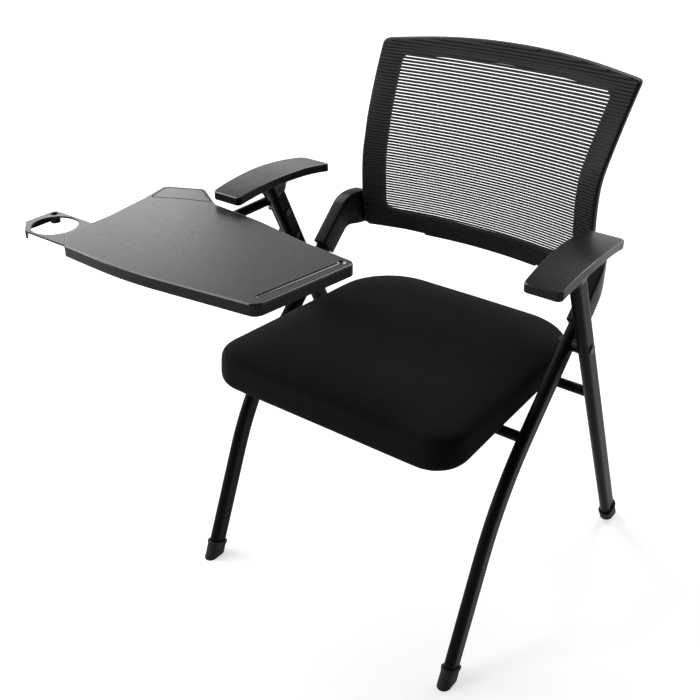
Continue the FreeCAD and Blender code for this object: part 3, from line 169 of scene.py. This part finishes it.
def footRubber():
    # A dusty bloom over a fine grain.
    look = {"dark": 0.006, "light": 0.012, "cool": 0.05, "bloom": 60, "gloss": 0.6, "drift": 0.2,
            "shine": 0.25, "grain": 700, "relief": 0.15, "depth": 0.0006}
    tree = finish("foot_rubber")
    at = tree.place()
    bloom = tree.noise(at, look["bloom"], 4)
    return tree.surface({
        "Base Color": tree.tone(bloom, look),
        "Roughness": look["gloss"] + look["drift"] * bloom, "Specular IOR Level": look["shine"],
        "Normal": tree.bump(tree.noise(at, look["grain"]), look["relief"], look["depth"])})


def blackOxide():
    # A thin dark film on steel, thicker in some places than in others.
    look = {"dark": 0.015, "light": 0.04, "cool": 0.0, "film": 220, "metal": 0.7, "gloss": 0.34, "drift": 0.2,
            "relief": 0.1, "depth": 0.0004}
    tree = finish("black_oxide")
    film = tree.noise(tree.place(), look["film"], 3)
    return tree.surface({
        "Base Color": tree.tone(film, look), "Metallic": look["metal"],
        "Roughness": look["gloss"] + look["drift"] * film,
        "Normal": tree.bump(film, look["relief"], look["depth"])})


def meshYarn():
    # Twisted yarn: slanting plies along each strand.
    look = {"dark": 0.005, "light": 0.014, "cool": 0.06, "plies": 260.0, "slant": 0.5, "wander": 0.6,
            "gloss": 0.6, "drift": 0.15, "shine": 0.25, "relief": 0.3, "depth": 0.0003}
    tree = finish("mesh_yarn")
    at = tree.place(turn=(0, look["slant"], 0))
    plies = tree.node("ShaderNodeTexWave", {"bands_direction": "X"},
                      {"Vector": at, "Scale": look["plies"], "Distortion": look["wander"]})
    return tree.surface({
        "Base Color": tree.tone(plies, look),
        "Roughness": look["gloss"] + look["drift"] * plies, "Specular IOR Level": look["shine"],
        "Normal": tree.bump(plies, look["relief"], look["depth"])})


def seatCloth():
    # A close air mesh: two sets of ribs at right angles, with a pinhole wherever their hollows meet.
    look = {"dark": 0.0017, "light": 0.0112, "cool": 0.11, "ribs": 115.0, "fuzz": 1500, "wear": 7,
            "weaveShare": 0.5, "fuzzShare": 0.2, "wearShare": 0.3, "gloss": 0.84, "drift": 0.12,
            "shine": 0.05, "sheen": 0.01, "sheenGloss": 0.4,
            "fuzzRelief": 0.3, "relief": 0.6, "depth": 0.0006}
    tree = finish("seat_cloth")
    at = tree.place()
    along, across = (tree.node("ShaderNodeTexWave", {"bands_direction": way},
                               {"Vector": at, "Scale": look["ribs"]}) for way in "XY")
    weave = along + across - along * across
    fuzz = tree.noise(at, look["fuzz"])
    wear = tree.noise(at, look["wear"], 4)
    shade = look["weaveShare"] * weave + look["fuzzShare"] * fuzz + look["wearShare"] * wear
    return tree.surface({
        "Base Color": tree.tone(shade, look),
        "Roughness": look["gloss"] + look["drift"] * fuzz, "Specular IOR Level": look["shine"],
        "Sheen Weight": look["sheen"], "Sheen Roughness": look["sheenGloss"],
        "Normal": tree.bump(weave + look["fuzzRelief"] * fuzz, look["relief"], look["depth"])})


mattPlastic = mouldedPlastic("matt_plastic", {
    "dark": 0.005, "light": 0.008, "cool": 0.05, "gloss": 0.42, "shine": 0.08,
    "grain": 900, "relief": 0.12, "handled": 0.06, "burnish": 0.1})
finishes = {
    "frame_steel": powderCoat(),
    "frame_plastic": mouldedPlastic("grained_plastic", {
        "dark": 0.006, "light": 0.010, "cool": 0.05, "gloss": 0.27, "shine": 0.1,
        "grain": 900, "relief": 0.1, "handled": 0.08, "burnish": 0.9}),
    "tablet_plastic": mouldedPlastic("satin_plastic", {
        "dark": 0.009, "light": 0.013, "cool": -0.02, "gloss": 0.27, "shine": 0.09,
        "grain": 1300, "relief": 0.08, "handled": 0.07, "burnish": 0.9}),
    "rubber_feet": footRubber(),
    "hardware": blackOxide(),
    "mesh_fabric": meshYarn(),
    "seat_fabric": seatCloth(),
}
for part in frame["record"]["subparts"]:
    shown = frame["nodes"][part["node"]].data.materials
    shown.clear()
    shown.append(finishes[part["material_slot"]])
print("finishes:", ", ".join(sorted(finishes)))


# Mesh helpers; every size below is in millimetres until the mesh is made

def unit(vectors):
    return vectors / np.linalg.norm(vectors, axis=-1, keepdims=True)


def roundedLoop(corners, arcSteps, sideSteps):
    # A closed outline of (x, y, radius) corners: each corner becomes the arc of that radius which
    # touches both its sides, and each side between two arcs is cut into equal steps.
    corners = np.asarray(corners, float)
    here, radius = corners[:, :2], corners[:, 2:]
    toward, onward = unit(np.roll(here, 1, 0) - here), unit(np.roll(here, -1, 0) - here)
    half = np.arccos(np.clip((toward * onward).sum(1, keepdims=True), -1, 1)) / 2
    centre = here + unit(toward + onward) * radius / np.sin(half)
    start, end = here + toward * radius / np.tan(half), here + onward * radius / np.tan(half)
    turn = (np.pi - 2 * half)[..., None] * np.linspace(0, 1, arcSteps + 1)[None, :, None]
    arcs = (centre[:, None] + np.cos(turn) * (start - centre)[:, None]
            - np.sin(turn) * (toward * radius)[:, None])
    share = np.arange(1, sideSteps + 1)[None, :, None] / (sideSteps + 1)
    sides = end[:, None] + (np.roll(start, -1, 0) - end)[:, None] * share
    return np.concatenate([arcs, sides], 1).reshape(-1, 2)


def gridFaces(rows, columns, closedRows=False):
    # Quads between neighbouring points of a grid. Each row is a closed loop, and with closedRows the last
    # row joins the first.
    r = np.arange(rows if closedRows else rows - 1)[:, None]
    c = np.arange(columns)[None]
    below, beside = (r + 1) % rows, (c + 1) % columns
    corners = np.broadcast_arrays(r * columns + c, r * columns + beside,
                                  below * columns + beside, below * columns + c)
    return np.stack(corners, -1).reshape(-1, 4)


def tubeFaces(tubes, rows, columns):
    # The same grid for each of several tubes, with a flat face at both ends of every one.
    first = np.arange(tubes)[:, None, None] * rows * columns
    walls = (gridFaces(rows, columns)[None] + first).reshape(-1, 4).tolist()
    rim = np.arange(columns)[None]
    starts = (first[:, 0] + rim).tolist()
    ends = (first[:, 0] + (rows - 1) * columns + rim).tolist()
    return walls + starts + ends


def newMesh(name, points, faces):
    # The mesh in metres, with points that coincide merged and every face turned outwards.
    mesh = bpy.data.meshes.new(name)
    mesh.from_pydata((points.reshape(-1, 3) * mm).tolist(), [], faces)
    work = bmesh.new()
    work.from_mesh(mesh)
    bmesh.ops.remove_doubles(work, verts=work.verts, dist=sameSpot)
    bmesh.ops.recalc_face_normals(work, faces=work.faces)
    work.to_mesh(mesh)
    work.free()
    mesh.shade_smooth()
    return mesh


def addPiece(name, mesh, slot, body, replaced, look=None):
    # A piece in its slot's finish, or in another look of that slot, in place of one CAD node.
    piece = bpy.data.objects.new(name, mesh)
    scene.collection.objects.link(piece)
    mesh.materials.clear()
    mesh.materials.append(look or finishes[slot])
    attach(piece, body)
    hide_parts(replaced)
    print("piece:", name, len(mesh.polygons), "faces")
    return piece


# Seat cushion

cushion = {
    "half": 230, "front": -274, "rear": 195, "rearInset": 12,
    "frontCorner": 56, "rearCorner": 110, "leastCorner": 8, "arcSteps": 10, "sideSteps": 16,
    "rim": 374.5, "height": 66, "drawIn": 9, "crown": 130, "fullest": 0.2, "fall": 3.0,
    "rings": 26, "drawPower": 2, "crownPower": 6, "risePower": 1.2,
    "hollowInset": 15.7, "hollowTop": 385.8, "roofShares": (0.02, 0.4, 0.75),
    "dome": 2.0, "domeShares": (0.75, 0.5, 0.25, 0.02),
    "slack": 1.0, "slackBy": 0.25, "voxel": 5.0, "mostSwell": 5.0, "spread": 80, "smooth": 4, "fill": 0.85,
    "heldInset": 30, "heldRoof": 3, "heldRim": 5,  # the underside, which the cloth doesn't move
}
seatCover = {"quality": 5, "mass": 0.3, "stretch": 12, "bending": 0.8, "pressure": 4.0, "steps": 20}


def cushionRing(inset, z):
    # The cushion's outline drawn in by inset, at height z above its front edge; the higher it is, the more
    # it falls towards the rear.
    c = cushion
    half, front, rear = c["half"] - inset, c["front"] + inset, c["rear"] - inset
    narrow = half - c["rearInset"]
    frontCorner, rearCorner = (max(c[k] - inset, c["leastCorner"]) for k in ("frontCorner", "rearCorner"))
    loop = roundedLoop([(-half, front, frontCorner), (half, front, frontCorner),
                        (narrow, rear, rearCorner), (-narrow, rear, rearCorner)],
                       c["arcSteps"], c["sideSteps"])
    fall = math.tan(math.radians(c["fall"])) * max(0, z - c["rim"]) / c["height"]
    return np.column_stack([loop, z - fall * (loop[:, 1] - c["front"])])


def cushionForm():
    # Rings from the middle of the hollow that takes the pan, out under the rim, up the sides and in over
    # the crown. On the outside the ring at share s is drawn in by a square law below the fullest line and
    # by a sixth-power law above it, and its height goes as a power of the sine of a quarter turn.
    c = cushion
    shares = np.linspace(0, 1, c["rings"])
    below, above = 1 - shares / c["fullest"], (shares - c["fullest"]) / (1 - c["fullest"])
    drawn = np.where(shares < c["fullest"], c["drawIn"] * below ** c["drawPower"],
                     c["crown"] * above ** c["crownPower"])
    heights = c["rim"] + c["height"] * np.sin(shares * np.pi / 2) ** c["risePower"]
    outside = [cushionRing(inset + c["slack"] * min(1, share / c["slackBy"]), z - c["slack"] * share)
               for share, inset, z in zip(shares, drawn, heights)]
    hollow = [cushionRing(c["hollowInset"], c["rim"]) + [0, 0, rise]
              for rise in (c["hollowTop"] - c["rim"], 0)]

    def shrunk(ring, share, rise):
        centre = np.array([0, (c["front"] + c["rear"]) / 2, ring[:, 2].mean() + rise])
        return centre + (ring - centre) * share

    roof = [shrunk(hollow[0], share, 0) for share in c["roofShares"]]
    top = [shrunk(outside[-1], share, c["dome"]) for share in c["domeShares"]]
    rings = np.array(roof + hollow + outside + top)
    rows, columns = rings.shape[:2]
    faces = gridFaces(rows, columns).tolist()
    faces += [list(range(columns)), list(range((rows - 1) * columns, rows * columns))]
    return newMesh("seat_cushion_form", rings, faces)


def evaluatedMesh(piece):
    shown = piece.evaluated_get(bpy.context.evaluated_depsgraph_get())
    return bpy.data.meshes.new_from_object(shown)


def meshPoints(mesh):
    points = np.empty(len(mesh.vertices) * 3)
    mesh.vertices.foreach_get("co", points)
    return points.reshape(-1, 3)


def spreadOut(mesh, moved):
    # Each point's move becomes the mean of its neighbours' moves, over and over, so that no pucker is left.
    ends = np.empty(len(mesh.edges) * 2, int)
    mesh.edges.foreach_get("vertices", ends)
    first, second = ends.reshape(-1, 2).T
    count = np.bincount(ends, minlength=len(moved))[:, None]
    for step in range(cushion["spread"]):
        total = np.column_stack([np.bincount(first, moved[second, k], len(moved)) +
                                 np.bincount(second, moved[first, k], len(moved)) for k in range(3)])
        moved = total / np.maximum(count, 1)
    return moved


def stuffed(form):
    # The form is remeshed and blown up as cloth with its underside held. No point moves further than
    # mostSwell, and the moves are then evened out.
    c = cushion
    work = bpy.data.objects.new("stuffing", form)
    scene.collection.objects.link(work)
    remesh = work.modifiers.new("even", "REMESH")
    remesh.mode, remesh.voxel_size = "VOXEL", c["voxel"] * mm
    even = evaluatedMesh(work)
    work.modifiers.clear()
    work.data = even
    rest = meshPoints(even)
    held = work.vertex_groups.new(name="held")
    across, height = np.abs(rest[:, 0]), rest[:, 2]
    roof = (across < (c["half"] - c["heldInset"]) * mm) & (height < (c["hollowTop"] + c["heldRoof"]) * mm)
    rim = height < (c["rim"] + c["heldRim"]) * mm
    held.add(np.flatnonzero(roof | rim).tolist(), 1.0, "REPLACE")
    cloth = work.modifiers.new("swell", "CLOTH")
    settings = cloth.settings
    settings.quality, settings.mass = seatCover["quality"], seatCover["mass"]
    settings.tension_stiffness = settings.compression_stiffness = seatCover["stretch"]
    settings.shear_stiffness, settings.bending_stiffness = seatCover["stretch"], seatCover["bending"]
    settings.use_pressure, settings.uniform_pressure_force = True, seatCover["pressure"]
    settings.vertex_group_mass, settings.pin_stiffness = "held", 1.0
    settings.effector_weights.gravity = 0
    cloth.collision_settings.use_collision = False
    for step in range(1, seatCover["steps"] + 1):
        scene.frame_set(step)
    blown = evaluatedMesh(work)
    moved = meshPoints(blown) - rest
    far = np.linalg.norm(moved, axis=1, keepdims=True)
    moved *= np.minimum(1, c["mostSwell"] * mm / np.maximum(far, 1e-9))
    even.vertices.foreach_set("co", (rest + spreadOut(even, moved)).ravel())
    print("stuffing swelled by up to %.1f mm" % (1000 * far.max()))
    scene.frame_set(1)
    bpy.data.objects.remove(work)
    even.shade_smooth()
    return even


seat = addPiece("cushion", stuffed(cushionForm()), "seat_fabric", "seat", "seat_cushion")
evened = seat.modifiers.new("evened", "SMOOTH")
evened.factor, evened.iterations = 0.5, cushion["smooth"]
soften = seat.modifiers.new("soften", "SUBSURF")
soften.levels = soften.render_levels = 1


# Back: the moulded ring and the mesh stretched over its front

back = {
    "half": 223.5, "bottom": 501, "waist": 630, "top": 848, "waistY": 136, "lean": 15,
    "lowRadius": 185, "lowTurn": 26, "highRadius": 1000, "sagTop": 13, "sagBottom": 38,
    "nip": 4.5, "straight": 590, "neck": 680, "neckRadius": 260, "flare": 12.5,
    "arch": 24, "crownRadius": 1500, "sillBow": 10, "sillRadius": 2500, "corner": 7,
    "stile": 39, "rail": 36, "openingCorner": 12, "openingArch": 9, "thick": 16, "edge": 4.5,
    "edgeSteps": 6,
    "pitch": 4.8, "firstStrand": 551, "strandsBelow": 12, "strandsAbove": 65, "leastReach": 40,
    "strandHigh": 3.68, "strandThick": 1.2, "strandAt": -0.9, "strandSides": 8, "flatSteps": 26,
    "wrap": 50, "wrapSteps": 5,
    "threadPitch": 3.0, "threadThick": 0.2, "threadReach": 216, "threadEnd": 3, "threadSides": 4,
    "weave": 0.42,
    "headFrom": 780, "footTo": 540,  # where the outline's top and bottom runs lie
}


def backCurve(z):
    # Depth of the front face at the sides: three arcs, each tangent to the next.
    b = back
    wide = (b["waist"] - b["bottom"]) / math.sin(math.radians(b["lean"]))
    turn = math.radians(b["lowTurn"])
    knee = b["waist"] + b["lowRadius"] * math.sin(turn)
    highY = b["waistY"] + b["lowRadius"] * (1 - math.cos(turn)) + b["highRadius"] * math.cos(turn)
    highZ = knee - b["highRadius"] * math.sin(turn)

    def arc(y, radius, offset):
        return y - np.sqrt(np.maximum(radius ** 2 - offset ** 2, 0))

    return np.select([z < b["waist"], z < knee],
                     [arc(b["waistY"] + wide, wide, b["waist"] - z),
                      arc(b["waistY"] + b["lowRadius"], b["lowRadius"], z - b["waist"])],
                     arc(highY, b["highRadius"], z - highZ))


def backDepth(x, z):
    # The curve at the sides plus a sag towards the middle that falls off as a parabola.
    b = back
    sag = b["sagTop"] + (b["sagBottom"] - b["sagTop"]) * (b["top"] - z) / (b["top"] - b["bottom"])
    return backCurve(z) + sag * (1 - (x / b["half"]) ** 2)


def backSide(z):
    # Half width: straight below, nipped in to the neck, flared above it.
    b = back
    nipped = b["half"] - b["nip"]
    if z < b["neck"]:
        return b["half"] - b["nip"] * max(0.0, (z - b["straight"]) / (b["neck"] - b["straight"]))
    return nipped + (b["nip"] + b["flare"]) * (z - b["neck"]) / (b["top"] - b["neck"])


def backLoop(insetSide, insetRail, corner, arch, arcSteps=16, sideSteps=18):
    b = back
    bottom, top = b["bottom"] + insetRail, b["top"] - insetRail
    right = [(backSide(z) - insetSide, z + lift, radius) for z, lift, radius in (
        (bottom, 0.6 * b["sillBow"], corner), (b["neck"], 0, b["neckRadius"]), (top - arch, 0, corner))]
    left = [(-x, z, radius) for x, z, radius in reversed(right)]
    sill, crown = (0, bottom - 0.4 * b["sillBow"], b["sillRadius"]), (0, top + 0.12 * arch, b["crownRadius"])
    return roundedLoop([sill] + right + [crown] + left, arcSteps, sideSteps)


def backRing():
    # A rounded bar carried round the back: its section runs from the outer outline to the opening's and
    # from the front face to the rear one, with a quarter circle at each of its four edges.
    b = back
    outer = backLoop(0, 0, b["corner"], b["arch"])
    inner = backLoop(b["stile"], b["rail"], b["openingCorner"], b["openingArch"])
    across = np.linalg.norm(inner - outer, axis=1)[:, None]
    quarter = np.linspace(0, np.pi / 2, b["edgeSteps"])
    e, deep = b["edge"], b["thick"]
    s, c = e * (1 - np.sin(quarter)), e * (1 - np.cos(quarter))
    side = np.repeat([0.0, 1.0], 2 * b["edgeSteps"])
    inset = np.concatenate([s, c, -s, -c])
    depth = np.concatenate([c, deep - s, deep - c, s])
    share = (side * across + inset) / across
    spot = outer[:, None] + (inner - outer)[:, None] * share[..., None]
    x, z = spot[..., 0], spot[..., 1]
    points = np.stack([x, backDepth(x, z) + depth, z], -1)
    return newMesh("back_ring", points, gridFaces(*points.shape[:2], closedRows=True).tolist())


addPiece("back_ring", backRing(), "frame_plastic", "front_frame", "back_frame", mattPlastic)


def backMesh():
    # Level strands: an oval section carried straight across the back and a little way round its side edges,
    # where it follows the edge's arc. Fine threads cross them upright, over one strand and under the next.
    b = back
    outline = backLoop(1, 1, b["corner"], b["arch"], 40, 60)
    rightHalf = outline[outline[:, 0] >= 0]
    rightHalf = rightHalf[np.argsort(rightHalf[:, 1])]
    heights = b["firstStrand"] + b["pitch"] * np.arange(-b["strandsBelow"], b["strandsAbove"])
    reach = np.interp(heights, rightHalf[:, 1], rightHalf[:, 0], left=0, right=0)
    kept = reach > b["leastReach"]
    heights, reach = heights[kept], reach[kept]
    around = np.radians(np.linspace(0, b["wrap"], b["wrapSteps"]))
    bend = b["edge"] - b["strandAt"]
    flat = np.linspace(0, 1, b["flatSteps"])
    halfX = np.concatenate([np.outer(reach - b["edge"], flat[:-1]),
                            (reach - b["edge"])[:, None] + bend * np.sin(around)], 1)
    halfDepth = np.concatenate([np.full(b["flatSteps"] - 1, b["strandAt"]),
                                b["edge"] - bend * np.cos(around)])
    x = np.concatenate([-halfX[:, :0:-1], halfX], 1)[..., None]
    depth = np.concatenate([halfDepth[:0:-1], halfDepth])[None, :, None]
    angle = np.arange(b["strandSides"]) * np.pi / (b["strandSides"] / 2)
    z = heights[:, None, None] + 0.5 * b["strandHigh"] * np.sin(angle) + 0 * x
    y = backDepth(x, z) + depth + 0.5 * b["strandThick"] * np.cos(angle)
    strands = np.stack([x + 0 * z, y, z], -1)

    columns = np.arange(-b["threadReach"], b["threadReach"] + 0.1, b["threadPitch"])
    sides = outline[np.argsort(outline[:, 0])]
    head, foot = sides[sides[:, 1] > b["headFrom"]], sides[sides[:, 1] < b["footTo"]]
    lowest = np.interp(columns, foot[:, 0], foot[:, 1])[:, None, None] + b["threadEnd"]
    highest = np.interp(columns, head[:, 0], head[:, 1])[:, None, None] - b["threadEnd"]
    z = np.clip(heights[None, :, None], lowest, highest)
    rows = np.arange(len(heights))[None, :, None]
    over = b["weave"] * np.cos(np.pi * (rows + np.arange(len(columns))[:, None, None]))
    angle = np.arange(b["threadSides"]) * np.pi / (b["threadSides"] / 2)
    x = columns[:, None, None] + 0.5 * b["threadThick"] * np.cos(angle) + 0 * z
    y = backDepth(x, z + 0 * x) + b["strandAt"] + over + 0.5 * b["threadThick"] * np.sin(angle)
    z = z + 0.001 * rows + 0 * x  # keeps clipped points apart
    threads = np.stack([x, y, z], -1)
    faces = tubeFaces(*strands.shape[:3])
    faces += [[k + strands.size // 3 for k in face] for face in tubeFaces(*threads.shape[:3])]
    points = np.concatenate([strands.reshape(-1, 3), threads.reshape(-1, 3)])
    return newMesh("back_strands", points, faces)


strands = addPiece("back_strands", backMesh(), "mesh_fabric", "front_frame", "back_mesh")


# Brackets: the band from each front leg's end to the back's side

bracket = {
    "mouth": (58.65, 485.63), "lean": 46.4, "deep": 39.4, "leg": 246, "thick": 24.4,
    "top": 571, "bottom": 505, "fall": 7, "rear": 173.9, "turn": 58, "corner": 20,
    "turnY": 113.5, "meetY": 139.7, "backNear": 223.9, "backFar": 236.8, "bend": 8,
    "edge": 3.0, "edgeSteps": 6, "mostEdge": 0.45,
    "sharp": 0.01, "rearLow": 0.5, "rearHigh": 1.35, "stations": 60,
}


def hinge(y, start):
    # Nought before start and one for one after it, eased through a hyperbola.
    return (y - start + np.sqrt((y - start) ** 2 + bracket["bend"] ** 2)) / 2


def evenly(points, count):
    # The same chain of points cut into equal lengths.
    run = np.concatenate([[0], np.cumsum(np.linalg.norm(np.diff(points, axis=0), axis=1))])
    want = np.linspace(0, run[-1], count)
    return np.column_stack([np.interp(want, run, points[:, k]) for k in range(2)])


def bracketBand(side):
    # A rounded oblong carried between two edges seen from the side, the lower and the upper, both cut evenly
    # from the socket's mouth to the middle of the rear end. From above the band runs straight over the leg,
    # and then each of its faces bends in to the back.
    b = bracket
    turn = math.radians(b["lean"])
    way, square = np.array([math.sin(turn), math.cos(turn)]), np.array([-math.cos(turn), math.sin(turn)])
    mouth = np.array(b["mouth"])
    low, high = mouth - square * b["deep"] / 2, mouth + square * b["deep"] / 2
    lowTurn = low + way * (b["bottom"] + b["fall"] - low[1]) / way[1]
    highTurn = high + way * (b["top"] - high[1]) / way[1]
    middle = (b["rear"], (b["top"] + b["bottom"]) / 2)
    loop = roundedLoop([(*low, b["sharp"]), (*lowTurn, b["corner"]),
                        (b["rear"], b["bottom"], b["rearLow"] * b["corner"]),
                        (b["rear"], b["top"], b["rearHigh"] * b["corner"]),
                        (*highTurn, b["turn"]), (*high, b["sharp"])], 12, 24)
    first, tip, last = (np.argmin(np.linalg.norm(loop - end, axis=1)) for end in (low, middle, high))
    lower = evenly(loop[first:tip + 1], b["stations"])[:-1, None]
    upper = evenly(loop[tip:last + 1][::-1], b["stations"])[:-1, None]
    tall = np.linalg.norm(upper - lower, axis=-1)
    edge = np.minimum(b["edge"], b["mostEdge"] * tall)
    angle = np.concatenate([np.linspace(k, k + 1, b["edgeSteps"]) for k in range(4)]) * np.pi / 2
    signX, signZ = np.repeat([[1, -1, -1, 1], [1, 1, -1, -1]], b["edgeSteps"], axis=1)
    over = (0.5 * b["thick"] - edge) * signX + edge * np.cos(angle)
    along = (0.5 * tall - edge) * signZ + edge * np.sin(angle)
    spot = lower + (upper - lower) * (0.5 + along / tall)[..., None]
    y, z = spot[..., 0], spot[..., 1]
    far, near = b["leg"] + b["thick"] / 2, b["leg"] - b["thick"] / 2
    farX = far - (far - b["backFar"]) / (b["rear"] - b["turnY"]) * hinge(y, b["turnY"])
    inward = hinge(y, b["turnY"]) - hinge(y, b["meetY"])
    nearX = near - (near - b["backNear"]) / (b["meetY"] - b["turnY"]) * inward
    x = nearX + (farX - nearX) * (0.5 + over / b["thick"])
    points = np.stack([side * x, y, z], -1)[None]
    return newMesh("bracket", points, tubeFaces(*points.shape[:3]))


for name, side in (("left", 1), ("right", -1)):
    addPiece("bracket_" + name, bracketBand(side), "frame_plastic", "front_frame",
             "back_bracket_" + name, mattPlastic)


# Floor, light and camera

floor = {"size": 60.0, "drop": 0.3, "pale": 0.55, "seenGlow": 0.6, "whiteFrom": 1.2, "whiteAt": 4.0}


def seenDirectly(tree):
    # 1 for what the camera sees, straight or in a gloss.
    camera, gloss, through = (tree.node("ShaderNodeLightPath", output="Is %s Ray" % kind)
                              for kind in ("Camera", "Glossy", "Transmission"))
    return camera.maths("MINIMUM", camera + gloss + through, 1.0)


def paleFloor():
    # Matt, with a glow that only shows in the picture and grows to a plain white far from the chair.
    tree = finish("pale_floor")
    at = tree.node("ShaderNodeTexCoord", output="Object")
    away = tree.node("ShaderNodeVectorMath", {"operation": "LENGTH"}, {0: at}, "Value")
    glow = tree.eased(away, floor["whiteFrom"], floor["whiteAt"], floor["seenGlow"], 1.0)
    matt = tree.node("ShaderNodeBsdfDiffuse", {}, {"Color": (floor["pale"],) * 3 + (1,)})
    white = tree.node("ShaderNodeEmission", {}, {"Color": seenDirectly(tree) * glow, "Strength": 1.0})
    both = tree.node("ShaderNodeAddShader", {}, {0: matt, 1: white})
    tree.node("ShaderNodeOutputMaterial", {}, {"Surface": both})
    return tree.owner


floorReach = floor["size"] / mm / 2
floorCorners = np.array([(-1, -1), (1, -1), (1, 1), (-1, 1)]) * floorReach
floorPoints = np.column_stack([floorCorners, np.full(4, -floor["drop"])])
ground = bpy.data.objects.new("floor", newMesh("floor", floorPoints, [[0, 1, 2, 3]]))
ground.data.materials.append(paleFloor())
scene.collection.objects.link(ground)

studio = {
    "ambient": 0.34, "ceiling": 0.12, "wallTop": 0.4, "ceilingFrom": 0.7,
    "dimSide": 0.07, "dimToward": (0.6, -0.8, 0.0), "dimFrom": -0.2, "dimAt": 0.6,
    "lamps": {
        "key": {"at": (-2.6, -3.5, 3.1), "aim": (-0.05, 0, 0.4), "size": 1.6, "power": 85},
        "overLeft": {"at": (-2.9, 0.1, 3.7), "aim": (-0.2, -0.1, 0.6), "size": 2.2, "power": 135},
        "overBack": {"at": (0.1, 3.0, 3.6), "aim": (-0.1, -0.1, 0.6), "size": 2.2, "power": 115},
        "side": {"at": (-3.2, 1.6, 1.3), "aim": (-0.2, -0.1, 0.6), "size": 1.6, "power": 35},
        "back": {"at": (-2.7, 2.0, 1.9), "aim": (-0.2, -0.1, 0.6), "size": 1.8, "power": 13},
        "left": {"at": (-2.7, -1.7, 1.3), "aim": (-0.1, -0.1, 0.4), "size": 1.4, "power": 42},
    },
}


def studioSky():
    # A white cove behind, up to wallTop, that eases to a dim ceiling and to a dim room in front.
    scene.world = bpy.data.worlds.new("studio")
    sky = Tree(scene.world)
    way = sky.node("ShaderNodeTexCoord", output="Generated")
    height = sky.node("ShaderNodeSeparateXYZ", {}, {0: way}, "Z")
    front = sky.node("ShaderNodeVectorMath", {"operation": "DOT_PRODUCT"},
                     {0: way, 1: studio["dimToward"]}, "Value")
    walls = sky.eased(height, studio["wallTop"], studio["ceilingFrom"], 1.0, studio["ceiling"])
    cove = walls * sky.eased(front, studio["dimFrom"], studio["dimAt"], 1.0, studio["dimSide"])
    straight = sky.node("ShaderNodeLightPath", output="Is Camera Ray")
    seen = seenDirectly(sky)
    level = straight + (1 - straight) * cove * (seen + studio["ambient"] * (1 - seen))
    backdrop = sky.node("ShaderNodeBackground", {}, {"Color": (1, 1, 1, 1), "Strength": level})
    sky.node("ShaderNodeOutputWorld", {}, {"Surface": backdrop})


studioSky()
for name, lamp in studio["lamps"].items():
    light = bpy.data.lights.new(name, "AREA")
    light.size, light.energy = lamp["size"], lamp["power"]
    holder = bpy.data.objects.new(name, light)
    way = Vector(lamp["aim"]) - Vector(lamp["at"])
    holder.matrix_world = Matrix.Translation(lamp["at"]) @ way.to_track_quat("-Z", "Y").to_matrix().to_4x4()
    scene.collection.objects.link(holder)

view = {"azimuth": 36.701, "elevation": 29.996, "distance": 1.7672, "target": (-0.1430, 0, 0.3347),
        "lens": 51.284, "sensor": 36, "clipStart": 0.01}


def aimCamera():
    # The camera stands off the target along azimuth and elevation, level.
    turn, lift = math.radians(view["azimuth"]), math.radians(view["elevation"])
    away = Vector((math.sin(turn) * math.cos(lift), -math.cos(turn) * math.cos(lift), math.sin(lift)))
    right = Vector((math.cos(turn), math.sin(turn), 0))
    data = bpy.data.cameras.new("camera")
    data.lens, data.sensor_width, data.clip_start = view["lens"], view["sensor"], view["clipStart"]
    camera = bpy.data.objects.new("camera", data)
    axes = Matrix((right, away.cross(right), away)).transposed().to_4x4()
    camera.matrix_world = Matrix.Translation(Vector(view["target"]) + view["distance"] * away) @ axes
    scene.collection.objects.link(camera)
    scene.camera = camera


aimCamera()
bpy.context.view_layer.update()
print("camera, floor and lamps set")
